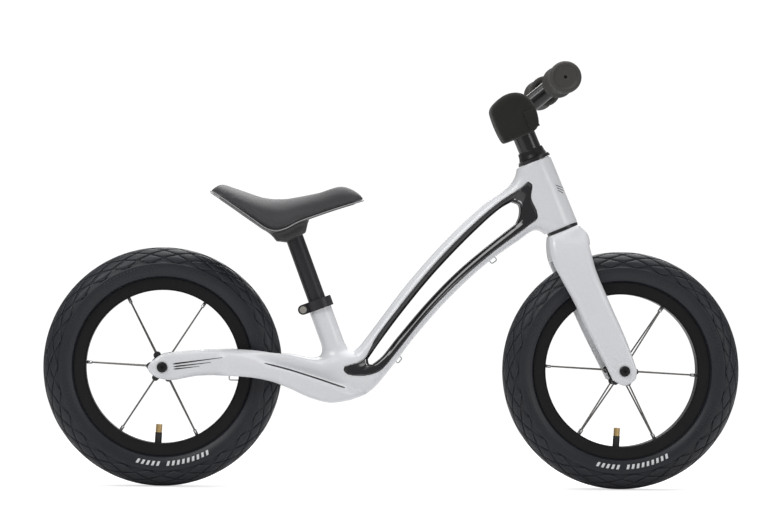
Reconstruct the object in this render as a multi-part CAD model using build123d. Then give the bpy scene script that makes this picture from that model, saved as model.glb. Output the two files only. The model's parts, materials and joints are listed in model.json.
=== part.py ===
"""A child's balance bike with 12-inch air tyres and a one-piece moulded frame.

Millimetres. +X points forward, +Z up, and Y = 0 is the mid-plane of both wheels.
The origin is on the ground, halfway between the two axles.
"""
from build123d import *
from math import atan2, cos, degrees, hypot, radians, sin
import os

# Wheels
WHEELBASE = 572.0
TYRE_R = 148.5
TYRE_HALF_WIDTH = 23.5
REAR_X = -WHEELBASE / 2
FRONT_X = WHEELBASE / 2
AXLE_Z = TYRE_R
RIM_HOLE_R = 95.2
RIM_FLOOR_R = 98.2
BEAD_SEAT_R = 101.5
RIM_FLANGE_R = 110.0
RIM_HALF_WIDTH = 14.5
SPOKES_PER_SIDE = 6
SPOKE_PHASE = -3.0
SPOKE_RIM_Y = 3.0
SPOKE_R = 1.0
NIPPLE_R = 2.1
NIPPLE_INNER_END = 88.0
VALVE_ANGLE = 267.0
VALVE_STEM_R = 4.3
VALVE_CORE_R = 3.85
VALVE_BORE_R = 2.2
VALVE_HOLE_R = 4.4
VALVE_TIP = 72.0
VALVE_STEM_TIP = 82.0
VALVE_CORE_END = 90.0
TUBE_CENTRE_R = 126.5
TUBE_SECTION_R = 16.5
TUBE_WALL = 1.3

# Hub and axle
AXLE_R = 5.0
THREAD_R = 3.0
HUB_HALF = 29.0
HUB_BARREL_R = 12.5
FLANGE_Y = 20.0
LUG_RING_R = 16.0
LUG_R = 4.2
BEARING_R = 9.5
BEARING_WIDTH = 6.0
DROPOUT_INNER_Y = 38.0
DROPOUT_OUTER_Y = 49.0
BOSS_R = 9.5
BOLT_HEAD_R = 6.6
BOLT_HEAD_HEIGHT = 4.0
BOLT_REACH = 14.0

# Fits
RUNNING = 0.05
FACE_GAP = 0.4

# Steering axis, measured upwards from the front axle
HEAD_ANGLE = 67.1
HEAD_TUBE_R = 20.6
HEAD_LOW = 193.5
HEAD_TOP = 283.2
HEAD_BORE_R = 16.0
STEERER_R = 14.3
STEERER_WALL = 2.2
STEERER_LOW = 166.0
STEERER_TOP = 354.0
RACE_R = 18.0
RACE_HEIGHT = 6.8

# Seat post axis
SEAT_ANGLE = 69.5
CLAMP_X = -92.9
CLAMP_Z = 228.0
SEAT_TUBE_R = 14.0
SEAT_TUBE_TOP = 4.8
POST_R = 11.1
POST_WALL = 2.0
POST_BELOW_CLAMP = 66.0
POST_ABOVE_CLAMP = 104.0
BORE_DEPTH = 113.0
CLAMP_HEIGHT = 12.5
CLAMP_R = 17.6
CLAMP_EAR_BACK = 20.7

# Handlebar, in steering-axis coordinates
BAR_FORWARD = 55.0
BAR_UP = 361.6
BAR_R = 11.1
BAR_WALL = 1.6
BAR_HALF = 189.0
GRIP_END_Y = 195.0
GRIP_START_Y = 88.0
STEM_LOW = 322.0
STEM_HIGH = 352.0
STEM_R = 19.0
STEM_START_UP = 345.0
STEM_ARM_R = 11.0
STEM_BOLT_UP = (-7.0, 7.0)

SIN_H = sin(radians(HEAD_ANGLE))
COS_H = cos(radians(HEAD_ANGLE))
SIN_S = sin(radians(SEAT_ANGLE))
COS_S = cos(radians(SEAT_ANGLE))

STEER = Plane(origin=(FRONT_X, 0, AXLE_Z), x_dir=(SIN_H, 0, COS_H), z_dir=(-COS_H, 0, SIN_H))
POST = Plane(origin=(CLAMP_X, 0, CLAMP_Z), x_dir=(SIN_S, 0, COS_S), z_dir=(-COS_S, 0, SIN_S))

# Side outline of the frame: x, z
STAY_TOP = [(-300, 155), (-286, 164.5), (-262, 167.5), (-216, 171), (-170, 171.5), (-137, 168),
            (-103, 161), (-72, 158), (-48, 166)]
BEAM_TOP = [(-48, 166), (-20, 204), (18, 255), (67, 311), (113, 355), (147, 382), (156, 402)]
BEAM_UNDER = [(193, 319), (177, 323), (155, 309), (113, 278), (67, 234), (28, 189), (-3, 148),
              (-28, 120), (-53, 109)]
STAY_UNDER = [(-53, 109), (-78, 106), (-103, 112), (-128, 123), (-152, 132), (-180, 137),
              (-240, 138), (-277, 132.5), (-296, 137.5), (-304, 147), (-300, 155)]
HEAD_JOIN = [(156, 402), (174, 408), (209, 327), (193, 319)]

# Through slot and the lip round it: x, z
SLOT_TOP = [(-31, 160), (-16, 182), (12, 220), (50, 267), (96, 316), (132, 349), (147, 358)]
SLOT_HEAD = [(147, 358), (156, 354), (157, 342), (153, 331)]
SLOT_UNDER = [(153, 331), (129, 312), (84, 274), (45, 234), (5, 186), (-13, 163), (-24, 153.5)]
SLOT_TAIL = [(-24, 153.5), (-29.5, 154.5), (-31, 160)]
LIP_TOP = [(-58, 144), (-51, 154), (-38, 165), (-22, 186), (16, 237), (54, 283), (92, 323),
           (128, 355), (158, 376), (166, 383)]
LIP_HEAD = [(166, 383), (171, 379), (170, 363), (177, 347)]
LIP_UNDER = [(177, 347), (178, 338), (168, 329), (126, 297), (81, 258), (42, 217), (3, 168),
             (-15, 147), (-32, 140.5), (-50, 140)]
LIP_TAIL = [(-50, 140), (-57, 141), (-58, 144)]

# Half widths of the frame seen from above: x, y
UPPER_PLAN = [(-308, 49), (-240, 47), (-190, 44), (-150, 38), (-105, 28), (-60, 22.5), (0, 19),
              (70, 18), (140, 18.5), (215, 20.5)]
PLATFORM_PLAN = [(-205, 44), (-170, 47), (-130, 46), (-90, 40), (-55, 31), (-25, 20)]
LEDGE = [(-205, 156), (-175, 156.5), (-142, 150.5), (-98, 137.5), (-54, 123), (-25, 114)]
GRIP_TAPE_THICKNESS = 1.2
GRIP_TAPE_X = -112.0
GRIP_TAPE_LENGTH = 112.0
LIP_DEPTH = 4.0
LOOP_WIRE_R = 0.8
SLEEVE_WALL = 2.5

# Side outline of the fork: x, z
FORK_REAR = [(193.5, 316.5), (193, 306), (196, 286), (208, 261), (222, 236), (240, 199), (266, 149),
             (272, 137)]
FORK_TIP = [(272, 137), (286, 130.5), (299.5, 138), (302, 149)]
FORK_FRONT = [(302, 149), (289, 186), (267, 236), (251, 274), (245, 299), (242, 318), (229.5, 331.5)]

# Saddle: side outline x, z and half width x, y
SADDLE_TOP = [(-230, 366), (-224, 372), (-215, 376.5), (-200, 372), (-164, 360.5), (-140, 359),
              (-96, 367), (-66, 376), (-50, 371), (-40, 363), (-37, 356.5)]
SADDLE_UNDER = [(-37, 356.5), (-49, 353), (-68, 347), (-94, 338), (-120, 328), (-136, 319.5),
                (-148, 316.5), (-159, 319), (-176, 330), (-211, 354), (-230, 366)]
SADDLE_PLAN = [(-230, 40), (-222, 60), (-200, 70), (-175, 66), (-140, 46), (-105, 30), (-70, 24),
               (-46, 20), (-37, 9)]
SEAT_BLOCK = [(-158, 320), (-146, 306), (-132, 304.5), (-110, 317), (-107, 331), (-132, 345)]


def node(shape, name):
    """Write one sub-part as parts/NAME.step."""
    shape.label = name
    export_step(shape, f"parts/{name}.step")


def curve(points):
    """One smooth line through the points, straight when there are two."""
    return Spline(*points) if len(points) > 2 else Line(*points)


def face_of(*runs):
    """A closed flat face whose border is the given runs of points, end to end."""
    return make_face([curve(run) for run in runs])


def side_slab(face, half_width):
    """The face, drawn in X and Z, made as thick as half_width each way along Y."""
    return extrude(Plane.XZ * face, amount=half_width, both=True)


def plan_slab(half_widths, low, high):
    """A slab seen from above, symmetric about Y = 0, from one height to another."""
    far = list(half_widths)
    near = [(x, -y) for x, y in reversed(half_widths)]
    border = face_of(far, [far[-1], near[0]], near, [near[-1], far[0]])
    return Pos(0, 0, low) * extrude(border, amount=high - low)


def rod(plane, radius, low, high, bore=0.0):
    """A round bar or tube on the plane's normal, from low to high."""
    bar = Cylinder(radius, high - low)
    if bore:
        bar -= Cylinder(bore, high - low)
    return plane * (Pos(0, 0, (low + high) / 2) * bar)


def turned(plane, profile):
    """A solid of revolution about the plane's normal, from points (radius, height)."""
    border = make_face(Polyline(*profile, close=True))
    return plane * revolve(Plane.XZ * border, Axis.Z)


def ring(profile, centre_x):
    """A solid of revolution about a wheel's axle, from points (radius, y)."""
    border = make_face(Polyline(*profile, close=True))
    return Pos(centre_x, 0, AXLE_Z) * revolve(border, Axis.Y)


def cross_rod(x, z, radius, low_y, high_y, bore=0.0):
    """A round bar or tube parallel to Y."""
    bar = Cylinder(radius, high_y - low_y)
    if bore:
        bar -= Cylinder(bore, high_y - low_y)
    return Pos(x, (low_y + high_y) / 2, z) * (Rot(90, 0, 0) * bar)


def link(start, end, radius):
    """A round wire between two points."""
    direction = Vector(*end) - Vector(*start)
    return Plane(origin=start, z_dir=direction) * (Pos(0, 0, direction.length / 2)
                                                   * Cylinder(radius, direction.length))


def wire_staple(points, radius):
    """A bent wire through the points, with ball corners."""
    shape = link(points[0], points[1], radius)
    for start, end in zip(points[1:], points[2:]):
        shape += Pos(*start) * Sphere(radius)
        shape += link(start, end, radius)
    return shape


def mirrored_pair(half):
    """The half profile and its mirror image in y, as one closed list of points."""
    return half + [(r, -y) for r, y in reversed(half)]


# ---------------------------------------------------------------- wheels

def tyre(x):
    """Open tyre casing with its two beads inside the rim flanges."""
    outside = [(BEAD_SEAT_R + 0.1, 11.9), (110.4, 11.9), (111.6, 15.4), (115, 19.2), (120, 22.2),
               (126, TYRE_HALF_WIDTH), (132, 22.9), (138, 20.3), (143, 15.6), (146.4, 10),
               (148.1, 4.5), (TYRE_R, 0)]
    inside = [(144.6, 0), (143.6, 6), (140, 12.5), (134, 17.5), (127, 19.6), (120, 18.3),
              (114.5, 14.4), (110.5, 8.6), (BEAD_SEAT_R + 0.1, 8.3)]
    return ring(outside + [(r, -y) for r, y in reversed(outside[:-1])]
                + [(r, -y) for r, y in reversed(inside)] + inside[1:], x)


def inner_tube(x):
    """Rubber air tube."""
    section = Pos(TUBE_CENTRE_R, 0) * (Circle(TUBE_SECTION_R) - Circle(TUBE_SECTION_R - TUBE_WALL))
    return Pos(x, 0, AXLE_Z) * revolve(section, Axis.Y)


def rim(x, nipple_holes, valve_at):
    """Single-wall rim with hooked sides, spoke holes and a valve hole."""
    half = [(RIM_HOLE_R, 12.5), (RIM_HOLE_R + 2, RIM_HALF_WIDTH), (RIM_FLANGE_R, RIM_HALF_WIDTH),
            (RIM_FLANGE_R, 12.1), (BEAD_SEAT_R, 12.1), (BEAD_SEAT_R, 7.6), (RIM_FLOOR_R, 6.2)]
    return ring(mirrored_pair(half), x) - nipple_holes - valve_at(VALVE_HOLE_R, 90, 104)


def rim_tape(x, valve_at):
    """Thin band that covers the spoke holes."""
    half = [(RIM_FLOOR_R + 0.05, 5.8), (RIM_FLOOR_R + 0.75, 5.8)]
    return ring(mirrored_pair(half), x) - valve_at(VALVE_HOLE_R, 90, 104)


def valve_stem(valve_at):
    """Rubber stem of the valve, from the inner tube to its brass end."""
    tube_low = TUBE_CENTRE_R - TUBE_SECTION_R - 0.1
    stem = valve_at(VALVE_STEM_R, VALVE_STEM_TIP, tube_low)
    stem -= valve_at(VALVE_CORE_R, VALVE_STEM_TIP - 1, VALVE_CORE_END)
    return stem - valve_at(VALVE_BORE_R, VALVE_CORE_END - 1, tube_low + 1)


def valve_core(valve_at):
    """Brass end of the valve, set into the stem."""
    return (valve_at(VALVE_CORE_R, VALVE_TIP, VALVE_CORE_END)
            - valve_at(VALVE_BORE_R, VALVE_TIP - 1, VALVE_CORE_END + 1))


def spoke_ends(x):
    """Hub end and rim end of every spoke, both sides."""
    ends = []
    for side in (-1, 1):
        for index in range(SPOKES_PER_SIDE):
            angle = radians(360 / SPOKES_PER_SIDE * index + SPOKE_PHASE)
            hub_r = LUG_RING_R + LUG_R - 0.6
            hub_end = (x + hub_r * cos(angle), side * FLANGE_Y, AXLE_Z + hub_r * sin(angle))
            rim_end = (x + RIM_FLOOR_R * cos(angle), side * SPOKE_RIM_Y,
                       AXLE_Z + RIM_FLOOR_R * sin(angle))
            ends.append((Vector(*hub_end), Vector(*rim_end)))
    return ends


def along(start, end, near, far, radius):
    """A round bar on the line from start to end, between two distances from its far end."""
    direction = (end - start).normalized()
    return link(tuple(end - direction * near), tuple(end - direction * far), radius)


def spokes(x):
    """Straight steel spokes from the hub lugs to the nipples."""
    wires = []
    for start, end in spoke_ends(x):
        length = (end - start).length
        wires.append(along(start, end, length, RIM_FLOOR_R - NIPPLE_INNER_END, SPOKE_R))
    return Compound(wires)


def nipples(x, radius=NIPPLE_R, far=0.6):
    """Round nipples that pass into the rim floor."""
    reach = RIM_FLOOR_R - NIPPLE_INNER_END
    return [along(start, end, reach, far, radius) for start, end in spoke_ends(x)]


def valve_placer(x):
    """A function that makes radial bars on the valve's line, between two radii."""
    angle = radians(VALVE_ANGLE)

    def place(radius, low_r, high_r):
        start = (x + low_r * cos(angle), 0, AXLE_Z + low_r * sin(angle))
        end = (x + high_r * cos(angle), 0, AXLE_Z + high_r * sin(angle))
        return link(start, end, radius)

    return place


def hub_shell(x):
    """Hub barrel with two six-lug flanges and a bearing seat at each end."""
    barrel = cross_rod(x, AXLE_Z, HUB_BARREL_R, -HUB_HALF, HUB_HALF)
    for side in (-1, 1):
        low, high = sorted((side * (FLANGE_Y - 2.2), side * (FLANGE_Y + 2.2)))
        barrel += cross_rod(x, AXLE_Z, LUG_RING_R - 1, low, high)
        for index in range(SPOKES_PER_SIDE):
            angle = radians(360 / SPOKES_PER_SIDE * index + SPOKE_PHASE)
            barrel += cross_rod(x + LUG_RING_R * cos(angle), AXLE_Z + LUG_RING_R * sin(angle),
                                LUG_R, low, high)
    seat_low = HUB_HALF - BEARING_WIDTH
    barrel -= cross_rod(x, AXLE_Z, BEARING_R, seat_low, HUB_HALF)
    barrel -= cross_rod(x, AXLE_Z, BEARING_R, -HUB_HALF, -seat_low)
    return barrel - cross_rod(x, AXLE_Z, AXLE_R + 1.5, -HUB_HALF, HUB_HALF)


def hub_bearings(x):
    """Two sealed ball bearings, as plain rings."""
    seat_low = HUB_HALF - BEARING_WIDTH
    bore = AXLE_R + RUNNING
    return Compound([cross_rod(x, AXLE_Z, BEARING_R, seat_low, HUB_HALF, bore),
                     cross_rod(x, AXLE_Z, BEARING_R, -HUB_HALF, -seat_low, bore)])


def axle(x):
    """Axle tube, threaded inside at both ends."""
    return cross_rod(x, AXLE_Z, AXLE_R, -DROPOUT_INNER_Y, DROPOUT_INNER_Y, THREAD_R)


def axle_spacers(x):
    """Sleeves between the bearings and the dropouts."""
    low = HUB_HALF + FACE_GAP
    return Compound([cross_rod(x, AXLE_Z, 7.5, low, DROPOUT_INNER_Y, AXLE_R),
                     cross_rod(x, AXLE_Z, 7.5, -DROPOUT_INNER_Y, -low, AXLE_R)])


def axle_bolts(x):
    """Button-head bolts with a hex socket, one through each dropout."""
    bolts = []
    for side in (-1, 1):
        tip, seat = sorted((side * (DROPOUT_INNER_Y - BOLT_REACH), side * DROPOUT_OUTER_Y))
        shank = cross_rod(x, AXLE_Z, THREAD_R, tip, seat)
        low, high = sorted((side * DROPOUT_OUTER_Y, side * (DROPOUT_OUTER_Y + BOLT_HEAD_HEIGHT)))
        head = cross_rod(x, AXLE_Z, BOLT_HEAD_R, low, high)
        outer_edge = head.faces().sort_by(Axis.Y)[-1 if side > 0 else 0].edges()
        head = fillet(outer_edge, 2.4)
        socket = Plane(origin=(x, side * (DROPOUT_OUTER_Y + BOLT_HEAD_HEIGHT), AXLE_Z),
                       x_dir=(1, 0, 0), z_dir=(0, -side, 0))
        head -= extrude(socket * RegularPolygon(2.3, 6), amount=2.6)
        bolts.append(shank + head)
    return Compound(bolts)


def wheel(x, side_name):
    """All nodes of one wheel, from the tyre to the axle bolts."""
    valve_at = valve_placer(x)
    holes = Compound(nipples(x, NIPPLE_R + 0.05, -2.0))
    wires = spokes(x)
    node(tyre(x), f"{side_name}_tyre")
    node(inner_tube(x), f"{side_name}_inner_tube")
    node(rim(x, holes, valve_at), f"{side_name}_rim")
    node(rim_tape(x, valve_at), f"{side_name}_rim_tape")
    node(wires, f"{side_name}_spokes")
    node(Compound(nipples(x)), f"{side_name}_nipples")
    node(valve_stem(valve_at), f"{side_name}_valve_stem")
    node(valve_core(valve_at), f"{side_name}_valve_core")
    node(hub_shell(x) - wires, f"{side_name}_hub_shell")
    node(hub_bearings(x), f"{side_name}_hub_bearings")
    node(axle(x), f"{side_name}_axle")
    node(axle_spacers(x), f"{side_name}_axle_spacers")
    node(axle_bolts(x), f"{side_name}_axle_bolts")


# ---------------------------------------------------------------- frame

def wheel_gap():
    """Space between the stays for the rear tyre and hub."""
    half = [(-320, 38), (-262, 38), (-225, 34), (-185, 31), (-150, 29), (-132, 22), (-125, 10),
            (-124, 0)]
    far = Spline(*half)
    near = Spline(*[(x, -y) for x, y in half])
    back = Line(half[0], (half[0][0], -half[0][1]))
    return Pos(0, 0, 60) * extrude(make_face([far, near, back]), amount=160)


def slot_face():
    """Outline of the slot through the beam."""
    return face_of(SLOT_TOP, SLOT_HEAD, SLOT_UNDER, SLOT_TAIL)


def lip_face():
    """Outline of the bezel round the slot."""
    return face_of(LIP_TOP, LIP_HEAD, LIP_UNDER, LIP_TAIL)


def moved_out(run, distance):
    """A run of points along the same line, moved to the left of its direction."""
    line = curve(run)
    count = len(run)
    points = []
    for index in range(count):
        at = line @ (index / (count - 1))
        way = line % (index / (count - 1))
        points.append((at.X - way.Y * distance, at.Y + way.X * distance))
    return points


def sleeve_face():
    """Outline of the hole that the slot's lining fills."""
    top = moved_out(SLOT_TOP, SLEEVE_WALL)
    under = moved_out(SLOT_UNDER, SLEEVE_WALL)
    head = [top[-1]] + moved_out(SLOT_HEAD, SLEEVE_WALL)[1:-1] + [under[0]]
    tail = [under[-1]] + moved_out(SLOT_TAIL, SLEEVE_WALL)[1:-1] + [top[0]]
    return face_of(top, head, under, tail)


def dropout_bosses(x):
    """Flat round faces on both dropouts, for the axle bolts."""
    return (cross_rod(x, AXLE_Z, BOSS_R, DROPOUT_INNER_Y, DROPOUT_OUTER_Y)
            + cross_rod(x, AXLE_Z, BOSS_R, -DROPOUT_OUTER_Y, -DROPOUT_INNER_Y))


def frame_body():
    """Beam, stays and foot platform, before any hole is cut."""
    main = side_slab(face_of(STAY_TOP, BEAM_TOP, HEAD_JOIN, BEAM_UNDER, STAY_UNDER), 60)
    body = main & plan_slab(UPPER_PLAN, 90, 420)
    ledge = LEDGE + [(-25, 90)]
    under = side_slab(face_of(LEDGE, ledge[-2:], [(-25, 90), (-205, 90)], [(-205, 90), LEDGE[0]]), 60)
    body += (main & under) & plan_slab(PLATFORM_PLAN, 90, 170)
    body += rod(STEER, HEAD_TUBE_R, HEAD_LOW, HEAD_TOP)
    body += rod(POST, SEAT_TUBE_R, -96, SEAT_TUBE_TOP)
    return body + dropout_bosses(REAR_X)


def frame(loops):
    """One-piece frame with its bores, wheel gap and slot."""
    body = frame_body() - wheel_gap()
    body -= rod(STEER, 45, HEAD_TOP, HEAD_TOP + 60)
    body -= rod(STEER, 30, HEAD_LOW - 60, HEAD_LOW)
    body -= rod(STEER, HEAD_BORE_R, HEAD_LOW - 5, HEAD_TOP + 5)
    body -= rod(STEER, RACE_R, HEAD_TOP - RACE_HEIGHT - 0.2, HEAD_TOP + 1)
    body -= rod(STEER, RACE_R, HEAD_LOW - 1, HEAD_LOW + RACE_HEIGHT + 0.2)
    body -= side_slab(sleeve_face(), 60)
    lip = side_slab(lip_face(), 60)
    body -= lip - plan_slab([(x, y - LIP_DEPTH) for x, y in UPPER_PLAN], 90, 420)
    body -= rod(POST, POST_R + RUNNING, -BORE_DEPTH, 10)
    body -= POST * (Pos(-SEAT_TUBE_R, 0, -6) * Box(16, 2.4, 26))
    body -= cross_rod(REAR_X, AXLE_Z, THREAD_R + 0.2, -60, 60)
    return body - loops


def slot_bezel(side):
    """One side of the gloss lining: a bezel on the face and a sleeve to the mid-plane."""
    lip = side_slab(lip_face(), 60) & plan_slab(UPPER_PLAN, 90, 420)
    lip -= plan_slab([(x, y - LIP_DEPTH) for x, y in UPPER_PLAN], 90, 420)
    sleeve = side_slab(sleeve_face(), 60) & plan_slab(UPPER_PLAN, 90, 420)
    shape = (lip + sleeve) - side_slab(slot_face(), 70)
    half_space = Pos(0, side * 50, 250) * Box(800, 100, 600)
    shape = shape & half_space
    return shape - rod(POST, POST_R + RUNNING, -BORE_DEPTH, 10)


def footrest_grips():
    """Anti-slip strips on the two ledges."""
    top = [(x, z + GRIP_TAPE_THICKNESS) for x, z in LEDGE]
    under = [(x, z) for x, z in reversed(LEDGE)]
    strip = side_slab(face_of(top, [top[-1], under[0]], under, [under[-1], top[0]]), 60)
    strip = strip & plan_slab([(x, y - 1.5) for x, y in PLATFORM_PLAN], 90, 170)
    strip -= plan_slab(UPPER_PLAN, 90, 420)
    return Compound([strip & (Pos(GRIP_TAPE_X, side * 40, 140) * Box(GRIP_TAPE_LENGTH, 60, 80))
                     for side in (-1, 1)])


def strap_loop(x, y, z, angle, length, stand_off):
    """A wire loop set into a surface that rises at the given angle."""
    place = Plane(origin=(x, y, z), x_dir=(cos(radians(angle)), 0, sin(radians(angle))),
                  z_dir=(0, -1, 0))
    corners = [(-length / 2, 4), (-length / 2, -stand_off), (length / 2, -stand_off),
               (length / 2, 4)]
    return wire_staple([tuple(place.from_local_coords(Vector(u, v, 0))) for u, v in corners],
                       LOOP_WIRE_R)


def strap_loops():
    """Wire loops under the beam and under one stay."""
    return Compound([strap_loop(-197, 38, 137.5, 0, 13, 6),
                     strap_loop(6.5, 0, 160.6, 52.9, 8, 4),
                     strap_loop(124, 0, 286.1, 36.4, 8, 4)])


def seat_clamp():
    """Split collar with a bolt boss behind the seat tube."""
    half = CLAMP_HEIGHT / 2
    boss_half = 9.0
    collar = rod(POST, CLAMP_R, -half, half)
    collar += POST * (Pos(-CLAMP_EAR_BACK / 2 - 4, 0, 0)
                      * Box(CLAMP_EAR_BACK - 8, 2 * boss_half, CLAMP_HEIGHT))
    boss = Rot(90, 0, 0) * Cylinder(half, 2 * boss_half)
    collar += POST * (Pos(-CLAMP_EAR_BACK, 0, 0) * boss)
    collar -= rod(POST, SEAT_TUBE_R, -half - 1, SEAT_TUBE_TOP)
    collar -= rod(POST, POST_R + 0.4, half - 2, half + 1)
    collar -= POST * (Pos(-22, 0, 0) * Box(20, 2.4, CLAMP_HEIGHT + 2))
    bore = Rot(90, 0, 0) * Cylinder(2.6, 4 * boss_half)
    collar -= POST * (Pos(-CLAMP_EAR_BACK, 0, 0) * bore)
    recess = Rot(90, 0, 0) * Cylinder(4.6, 4.5)
    return collar - POST * (Pos(-CLAMP_EAR_BACK, -boss_half + 2.25, 0) * recess)


def seat_clamp_bolt():
    """Socket cap bolt of the seat clamp."""
    shank = Rot(90, 0, 0) * Cylinder(2.5, 13.6)
    head = Rot(90, 0, 0) * Cylinder(4.4, 4.0)
    head = Pos(0, -6.6, 0) * head
    socket = Plane(origin=(0, -8.6, 0), x_dir=(1, 0, 0), z_dir=(0, 1, 0)) * RegularPolygon(2.1, 6)
    bolt = Pos(0, 1.7, 0) * shank + head - extrude(socket, amount=2.4)
    return POST * (Pos(-CLAMP_EAR_BACK, 0, 0) * bolt)


# ---------------------------------------------------------------- saddle

def seat_post():
    """Seat post tube."""
    return rod(POST, POST_R, -POST_BELOW_CLAMP, POST_ABOVE_CLAMP, POST_R - POST_WALL)


def saddle_body():
    """Outer shape of the padded saddle."""
    body = side_slab(face_of(SADDLE_TOP, SADDLE_UNDER), 80)
    return body & plan_slab(SADDLE_PLAN, 290, 400)


def saddle_base():
    """Moulded shell under the padding, with the post socket."""
    plate_top = [(x, z + 5) for x, z in SADDLE_UNDER[1:-1]]
    plate_under = list(reversed(SADDLE_UNDER[1:-1]))
    plate = side_slab(face_of(plate_top, [plate_top[-1], plate_under[0]], plate_under,
                              [plate_under[-1], plate_top[0]]), 80)
    plate = plate & plan_slab([(x, max(y - 6, 4)) for x, y in SADDLE_PLAN], 290, 400)
    block = side_slab(make_face(Polyline(*SEAT_BLOCK, close=True)), 21)
    return plate + block - rod(POST, POST_R, -10, POST_ABOVE_CLAMP)


def saddle_cover(base):
    """Padding and cover, shaped to sit over the base."""
    socket = rod(POST, POST_R, 0, POST_ABOVE_CLAMP)
    return saddle_body() - base - socket


# ---------------------------------------------------------------- fork and steering

def fork_gap():
    """Space between the blades for the front tyre and hub."""
    upper = cross_rod(FRONT_X, AXLE_Z, TYRE_R + 12, -30, 30)
    border = Polyline((-30, 240), (-31, 215), (-38, 185), (-38, 100), (38, 100), (38, 185), (31, 215),
                      (30, 240), close=True)
    lower = Pos(FRONT_X, 0, 0) * extrude(Plane.YZ * make_face(border), amount=90, both=True)
    return upper + lower


def fork():
    """One-piece fork: crown, two blades and two dropouts."""
    side = side_slab(face_of(FORK_REAR, FORK_TIP, FORK_FRONT, [FORK_FRONT[-1], FORK_REAR[0]]), 60)
    half = [(22, 345), (23, 325), (28, 308), (37, 284), (42.5, 255), (45, 215), (48, 180), (49, 150),
            (49, 120)]
    left = [(-y, z) for y, z in reversed(half)]
    front = face_of(half, [half[-1], left[0]], left, [left[-1], half[0]])
    shape = side & (Pos(250, 0, 0) * extrude(Plane.YZ * front, amount=90, both=True))
    shape = shape & Box(900, 2 * DROPOUT_OUTER_Y, 900)
    shape += dropout_bosses(FRONT_X)
    shape -= fork_gap()
    shape -= rod(STEER, STEERER_R, STEERER_LOW, HEAD_LOW + 10)
    shape -= rod(STEER, 60, HEAD_LOW - 4, HEAD_LOW + 80)
    return shape - cross_rod(FRONT_X, AXLE_Z, THREAD_R + 0.2, -60, 60)


def steerer():
    """Steerer tube, pressed into the crown."""
    return rod(STEER, STEERER_R, STEERER_LOW, STEERER_TOP, STEERER_R - STEERER_WALL)


def headset():
    """Bearings in the head tube, with the rings and cone that turn with the fork."""
    bore = STEERER_R + RUNNING
    node(rod(STEER, RACE_R, HEAD_TOP - RACE_HEIGHT, HEAD_TOP, bore), "upper_headset_bearing")
    node(rod(STEER, RACE_R, HEAD_LOW, HEAD_LOW + RACE_HEIGHT, bore), "lower_headset_bearing")
    node(rod(STEER, 20.2, HEAD_LOW - 4, HEAD_LOW - FACE_GAP, STEERER_R), "crown_ring")
    node(rod(STEER, 21.0, HEAD_TOP + FACE_GAP, HEAD_TOP + 2.6, STEERER_R), "headset_seal")
    cone = [(STEERER_R, 2.6), (20.2, 2.6), (20.2, 4.4), (18.2, 5.6), (16.9, 9.5), (16.2, 14.5),
            (15.9, 15.5), (STEERER_R, 15.5)]
    node(turned(STEER, [(r, HEAD_TOP + z) for r, z in cone]), "headset_cone")


STEM_TILT = degrees(atan2(BAR_UP - STEM_START_UP, BAR_FORWARD))
STEM_REACH = hypot(BAR_UP - STEM_START_UP, BAR_FORWARD)
ARM = STEER * (Pos(0, 0, STEM_START_UP) * Rot(0, -STEM_TILT, 0))


def stem():
    """Steerer clamp with its arm, shaped at the end to the handlebar that is welded to it."""
    shape = rod(STEER, STEM_R, STEM_LOW, STEM_HIGH)
    shape += STEER * (Pos(-19, 0, (STEM_LOW + STEM_HIGH) / 2) * Box(13, 18, 24))
    arm = Rot(0, 90, 0) * Cylinder(STEM_ARM_R, STEM_REACH)
    shape += ARM * (Pos(STEM_REACH / 2, 0, 0) * arm)
    shape -= STEER * (Pos(BAR_FORWARD, 0, BAR_UP) * (Rot(90, 0, 0) * Cylinder(BAR_R, 60)))
    shape -= rod(STEER, STEERER_R, STEM_LOW - 1, STEERER_TOP + 20)
    shape -= STEER * (Pos(-20, 0, (STEM_LOW + STEM_HIGH) / 2) * Box(20, 2, 40))
    for up in STEM_BOLT_UP:
        bore = Rot(90, 0, 0) * Cylinder(2.6, 40)
        shape -= STEER * (Pos(-21, 0, (STEM_LOW + STEM_HIGH) / 2 + up) * bore)
    return shape


def stem_clamp_bolts():
    """Two socket cap bolts behind the steerer clamp."""
    bolts = []
    for up in STEM_BOLT_UP:
        shank = Rot(90, 0, 0) * Cylinder(2.5, 18)
        head = Pos(0, -11, 0) * (Rot(90, 0, 0) * Cylinder(3.9, 4))
        place = Pos(-21, 0, (STEM_LOW + STEM_HIGH) / 2 + up)
        bolts.append(STEER * (place * (shank + head)))
    return Compound(bolts)


def stem_pad():
    """Soft knee pad that wraps the stem, open below for the steerer and in front for the arm."""
    outline = [(-29, 317), (-31, 332), (-31, 352), (-29, 364), (-19, 371), (-3, 375), (13, 371),
               (22, 361), (25.5, 350), (25.5, 338), (22, 324), (15, 318), (-8, 317)]
    face = make_face(Spline(*outline, periodic=True))
    shape = STEER * extrude(Plane.XZ * face, amount=29, both=True)
    shape -= rod(STEER, STEM_R + 0.5, STEM_LOW - 0.5, STEERER_TOP + 5.5)
    shape -= rod(STEER, STEERER_R + 0.5, 300, STEM_LOW + 5)
    shape -= STEER * (Pos(-17, 0, (STEM_LOW + STEM_HIGH) / 2) * Box(20, 28, 26))
    arm = Rot(0, 90, 0) * Cylinder(STEM_ARM_R + 0.5, 60)
    return shape - ARM * (Pos(30, 0, 0) * arm)


def top_cap():
    """Cap and bolt on the steerer's end."""
    cap = rod(STEER, STEERER_R - 0.1, STEERER_TOP, STEERER_TOP + 3)
    return cap + rod(STEER, STEERER_R - STEERER_WALL, STEERER_TOP - 8, STEERER_TOP + 0.5)


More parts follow.
